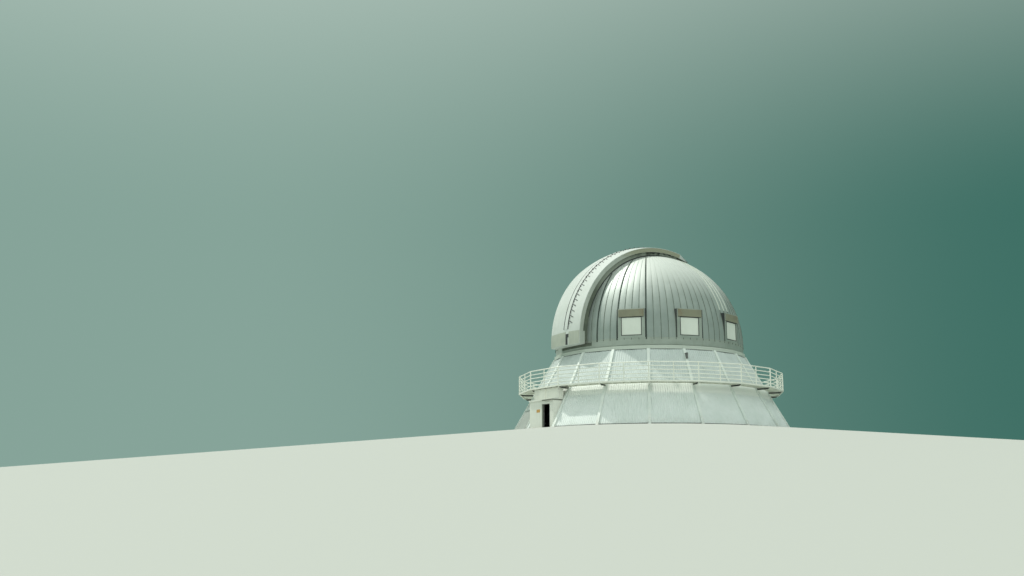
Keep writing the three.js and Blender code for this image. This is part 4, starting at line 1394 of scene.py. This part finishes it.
# The cover over the joint rides on the left half, and the right half passes under it
jointCover = {
    "half": 0.21, "lift": 0.01, "height": 0.012, "start": 6.0, "endAngle": 104.9, "overlap": 0.006,
    "sink": 0.002, "lineFrom": 0.004, "lineTo": 0.12, "lineSink": 0.004, "lineThick": 0.01,
}
seamX = shutter["jointX"]
coverStep = seamX - jointCover["overlap"]
coverSpan = (jointCover["start"], jointCover["endAngle"])
coverSolids = [
    crownedBand(seamX - jointCover["half"], coverStep, -jointCover["sink"],
                jointCover["lift"] + jointCover["height"], None, *coverSpan),
    crownedBand(coverStep, seamX + jointCover["half"], jointCover["lift"], jointCover["height"], None,
                *coverSpan),
]
solidPiece("shutter_joint_cover", coverSolids, "shutter_left", paint["shutterSheet"])
# Painted shade: a dark line just outside each edge of the cover
for name, side in (("left", -1), ("right", 1)):
    edges = sorted(seamX + side * (jointCover["half"] + jointCover[away]) for away in ("lineFrom", "lineTo"))
    line = crownedBand(*edges, -jointCover["lineSink"], jointCover["lineThick"], None, *coverSpan)
    solidPiece("shutter_joint_line_" + name, [line], "shutter_" + name, paint["blackAndPaintedShade"])

# Upstanding clips beside the cover, whose shadows fall over the right half
clip = {
    "x": 0.8, "width": 0.05, "length": 0.07, "height": 0.12, "pitch": 3.3, "start": 9.0, "endAngle": 101.0,
    "sink": 0.01,
}
angle = clip["start"]
clipSolids = []
while angle < clip["endAngle"]:
    foot = shutter["outer"] + crownAt(clip["x"]) - clip["sink"]
    span = math.degrees(clip["length"] / foot)
    rings = []
    for x in (clip["x"] - clip["width"] / 2, clip["x"] + clip["width"] / 2):
        rings.append([
            overSlit(foot, angle, shutter["centreY"], x), overSlit(foot, angle + span, shutter["centreY"], x),
            overSlit(foot + clip["height"], angle + span, shutter["centreY"], x),
            overSlit(foot + clip["height"], angle, shutter["centreY"], x),
        ])
    clipSolids.append(loftSolid(rings))
    angle += clip["pitch"]
solidPiece("shutter_clips", clipSolids, "shutter_right", paint["darkMetalAndPaintedShadow"])

# Painted shadows of the clips: short slanting dark marks run off the joint between the clips
clipShadow = {
    "from": 0.79, "to": 1.2, "drop": 1.3, "span": 0.42, "pitch": 3.3, "lift": 0.004, "height": 0.035,
    "start": 10.4,
}
angle = clipShadow["start"]
clipShadowSolids = []
while angle < clip["endAngle"]:
    rings = []
    for share in (0.0, 0.5, 1.0):
        x = clipShadow["from"] + (clipShadow["to"] - clipShadow["from"]) * share
        low = shutter["outer"] + crownAt(x) - clipShadow["lift"]
        start = angle - clipShadow["drop"] * share
        rings.append([overSlit(r, turn, shutter["centreY"], x) for r, turn in (
            (low, start), (low + clipShadow["height"] + clipShadow["lift"], start),
            (low + clipShadow["height"] + clipShadow["lift"], start + clipShadow["span"]), (low, start + clipShadow["span"]),
        )])
    clipShadowSolids.append(loftSolid(rings))
    angle += clipShadow["pitch"]
solidPiece("shutter_stiffeners", clipShadowSolids, "shutter_right", paint["darkMetalAndPaintedShadow"])

# The outer side of each half is a sheet painted darker, as painted shade
sideSheet = {
    "half": 0.003, "steps": 58, "footDrop": 0.2, "footLift": 0.003, "skirtLift": 0.002, "topDrop": 0.03,
}
for name, side in (("left", -1), ("right", 1)):
    sideRings = []
    near = shutter["width"] - sideSheet["half"]
    far = shutter["width"] + sideSheet["half"]
    low = shutter["skirt"] + sideSheet["skirtLift"]
    high = shutter["outer"] - sideSheet["topDrop"]
    footZ = shutter["bottom"] + sideSheet["footLift"]
    section = ((near, low), (far, low), (far, high), (near, high))
    for z in (footZ, dome["centreZ"] - sideSheet["footDrop"]):
        sideRings.append([Vector((side * x, shutter["centreY"] - r, z)) for x, r in section])
    for step in range(sideSheet["steps"] + 1):
        turn = shutter["endAngle"] * step / sideSheet["steps"]
        sideRings.append([overSlit(r, turn, shutter["centreY"], side * x) for x, r in section])
    cheekLow = (side * near, shutter["centreY"] - low, footZ)
    cheekHigh = (side * far, shutter["cheekY"] - sideSheet["skirtLift"],
                 shutter["cheekTop"] - sideSheet["skirtLift"])
    sideSolids = [loftSolid(sideRings), boxBetween(cheekLow, cheekHigh)]
    solidPiece("shutter_side_sheet_" + name, sideSolids, "shutter_" + name,
               paint["shutterSideShade"])

# Grey flat panels close the foot of each half; the gap between them is painted dark as painted shade
footPanel = {
    "gapFrom": 0.46, "gapTo": 0.86, "shadeTo": 0.72, "topAngle": 4.6, "shadeTop": 3.4, "sink": -0.004,
    "thick": 0.022, "shadeThick": 0.012, "shadeStart": 1.4, "lift": 0.04, "side": 0.004, "jointGap": 0.01,
    "start": -0.001, "between": 0.001, "shadeEnd": 0.002, "sharp": 20.0,
}
foot = shutter["bottom"] + footPanel["lift"]
edge = shutter["width"] - footPanel["side"]
for name, fromX, toX in (
    ("left", -edge, seamX - footPanel["jointGap"]), ("right", footPanel["gapTo"], edge),
):
    panel = crownedBand(fromX, toX, footPanel["sink"], footPanel["thick"], foot, footPanel["start"],
                        footPanel["topAngle"])
    solidPiece("shutter_foot_panel_" + name, [panel], "shutter_" + name,
               paint["shutterFoot"], sharpAngle=footPanel["sharp"])
gapShadeSolids = [
    crownedBand(fromX, toX, footPanel["sink"], footPanel["shadeThick"], startZ, fromAngle,
                footPanel["shadeTop"])
    for fromX, toX, startZ, fromAngle in (
        (footPanel["gapFrom"], footPanel["shadeTo"], foot, footPanel["start"]),
        (footPanel["shadeTo"] + footPanel["between"], footPanel["gapTo"] - footPanel["shadeEnd"], None,
         footPanel["shadeStart"]),
    )
]
solidPiece("shutter_foot_slot", gapShadeSolids, "shutter_right", paint["blackAndPaintedShade"])

# Painted shade: a dark strip where the girders meet the skin
slitEdgeShade = {
    "start": 14.0, "span": 86.0, "steps": 56, "near": 1.9505, "far": 1.956, "low": 7.68, "high": 7.85,
}
edgeShadeSolids = []
for side in (-1, 1):
    rings = []
    for step in range(slitEdgeShade["steps"] + 1):
        turn = slitEdgeShade["start"] + slitEdgeShade["span"] * step / slitEdgeShade["steps"]
        rings.append([overSlit(slitEdgeShade[level], turn, 0.0, side * slitEdgeShade[place]) for place, level in (
            ("near", "low"), ("far", "low"), ("far", "high"), ("near", "high"),
        )])
    edgeShadeSolids.append(loftSolid(rings))
solidPiece("slit_edge_gap", edgeShadeSolids, "dome", paint["blackAndPaintedShade"])

# Small rollers under each skirt, near the crest
roller = {
    "angles": (84.0, 88.0, 92.0, 96.0), "inner": 8.0, "outer": 8.22, "near": 1.955, "far": 2.03, "span": 1.3,
}
rollerSolids = []
for side in (-1, 1):
    for angle in roller["angles"]:
        rings = []
        for x in (side * roller["near"], side * roller["far"]):
            rings.append([overSlit(r, turn, 0.0, x) for r, turn in (
                (roller["inner"], angle), (roller["outer"], angle),
                (roller["outer"], angle + roller["span"]), (roller["inner"], angle + roller["span"]),
            )])
        rollerSolids.append(loftSolid(rings))
solidPiece("slit_rollers", rollerSolids, "dome", paint["blackAndPaintedShade"])
print("shutters made")

# Floor: level under the house, then falling away so that the low camera sees past its edge
floor = {
    "level": -0.004, "flatRadius": 12.6, "farRadius": 420.0, "fall": 5.8, "sides": 96,
    "colour": (0.43, 0.45, 0.42, 1.0), "rough": 0.9,
}


def makeFloor():
    drop = math.tan(math.radians(floor["fall"])) * (floor["farRadius"] - floor["flatRadius"])
    count = floor["sides"]
    points = []
    for radius, z in ((floor["flatRadius"], floor["level"]), (floor["farRadius"], floor["level"] - drop)):
        points.extend(atBearing(radius, i * 360.0 / count, z) for i in range(count))
    faces = [(i, (i + 1) % count, count + (i + 1) % count, count + i) for i in range(count)]
    faces.append(tuple(range(count - 1, -1, -1)))
    mesh = bpy.data.meshes.new("floor")
    mesh.from_pydata([tuple(point) for point in points], [], faces)
    tidyMesh(mesh)
    if mesh.polygons[-1].normal.z < 0:
        mesh.flip_normals()
    piece = bpy.data.objects.new("floor", mesh)
    scene.collection.objects.link(piece)
    material = bpy.data.materials.new("paleFloor")
    material.use_nodes = True
    shader = material.node_tree.nodes["Principled BSDF"]
    shader.inputs["Base Color"].default_value = floor["colour"]
    shader.inputs["Roughness"].default_value = floor["rough"]
    mesh.materials.append(material)


makeFloor()

# Camera at the photograph's place, low and to the right of the entrance
view = {
    "distance": 104.0, "bearing": 52.6, "height": -6.9, "pitch": 10.75, "yaw": 6.52, "lens": 42.4,
    "sensor": 36.0, "clipEnd": 1000.0,
}


def addCamera():
    data = bpy.data.cameras.new("photoCamera")
    data.sensor_width = view["sensor"]
    data.lens = view["lens"]
    data.clip_end = view["clipEnd"]
    camera = bpy.data.objects.new("photoCamera", data)
    scene.collection.objects.link(camera)
    bearing = math.radians(view["bearing"])
    pitch = math.radians(view["pitch"])
    camera.location = atBearing(view["distance"], view["bearing"], view["height"])
    towards = Vector((-math.sin(bearing), math.cos(bearing), 0.0))
    towards.rotate(Matrix.Rotation(math.radians(view["yaw"]), 3, "Z"))
    aim = Vector((towards.x * math.cos(pitch), towards.y * math.cos(pitch), math.sin(pitch)))
    camera.rotation_mode = "QUATERNION"
    camera.rotation_quaternion = aim.to_track_quat("-Z", "Y")
    scene.camera = camera


light = {
    "sky": 1.0, "horizonTop": 0.22, "skyBottom": 0.75, "horizonColour": (0.24, 0.37, 0.32),
    "horizonDark": (0.05, 0.16, 0.13), "darkBearing": 136.0, "darkFrom": -0.45, "darkTo": 0.22,
    "skyColour": (0.69, 0.78, 0.71),
}
sun = {"bearing": -68.5, "elevation": 65.0, "energy": 2.75, "angle": 1.2, "colour": (1.0, 0.985, 0.92)}
fill = {
    "bearing": 62.0, "elevation": 20.0, "energy": 0.89, "angle": 60.0, "colour": (1.0, 1.0, 0.98),
    "glossy": False,
}


def addSun(name, spec):
    data = bpy.data.lights.new(name, "SUN")
    data.energy = spec["energy"]
    data.angle = math.radians(spec["angle"])
    data.color = spec["colour"]
    lamp = bpy.data.objects.new(name, data)
    lamp.visible_glossy = spec.get("glossy", True)
    scene.collection.objects.link(lamp)
    level = math.cos(math.radians(spec["elevation"]))
    towards = atBearing(level, spec["bearing"], math.sin(math.radians(spec["elevation"])))
    lamp.rotation_mode = "QUATERNION"
    lamp.rotation_quaternion = towards.to_track_quat("Z", "Y")


def addSky():
    world = bpy.data.worlds.new("studio")
    scene.world = world
    world.use_nodes = True
    tree = world.node_tree
    background = tree.nodes["Background"]
    place = tree.nodes.new("ShaderNodeTexCoord").outputs["Generated"]
    split = addNode(tree, "ShaderNodeSeparateXYZ", {0: place})
    climb = rangeNode(tree, split.outputs["Z"], light["horizonTop"], light["skyBottom"])
    dark = atBearing(1.0, light["darkBearing"], 0.0)
    aside = addNode(tree, "ShaderNodeVectorMath", {0: place, 1: tuple(dark)}, operation="DOT_PRODUCT")
    shade = rangeNode(tree, aside.outputs["Value"], light["darkFrom"], light["darkTo"])
    horizon = mixColour(tree, shade, light["horizonColour"], light["horizonDark"])
    colour = mixColour(tree, climb, horizon, light["skyColour"])
    tree.links.new(colour, background.inputs["Color"])
    background.inputs["Strength"].default_value = light["sky"]
    scene.view_settings.view_transform = "Standard"


addCamera()
addSun("keyLight", sun)
addSun("fillLight", fill)
addSky()
print("floor, camera and light made")
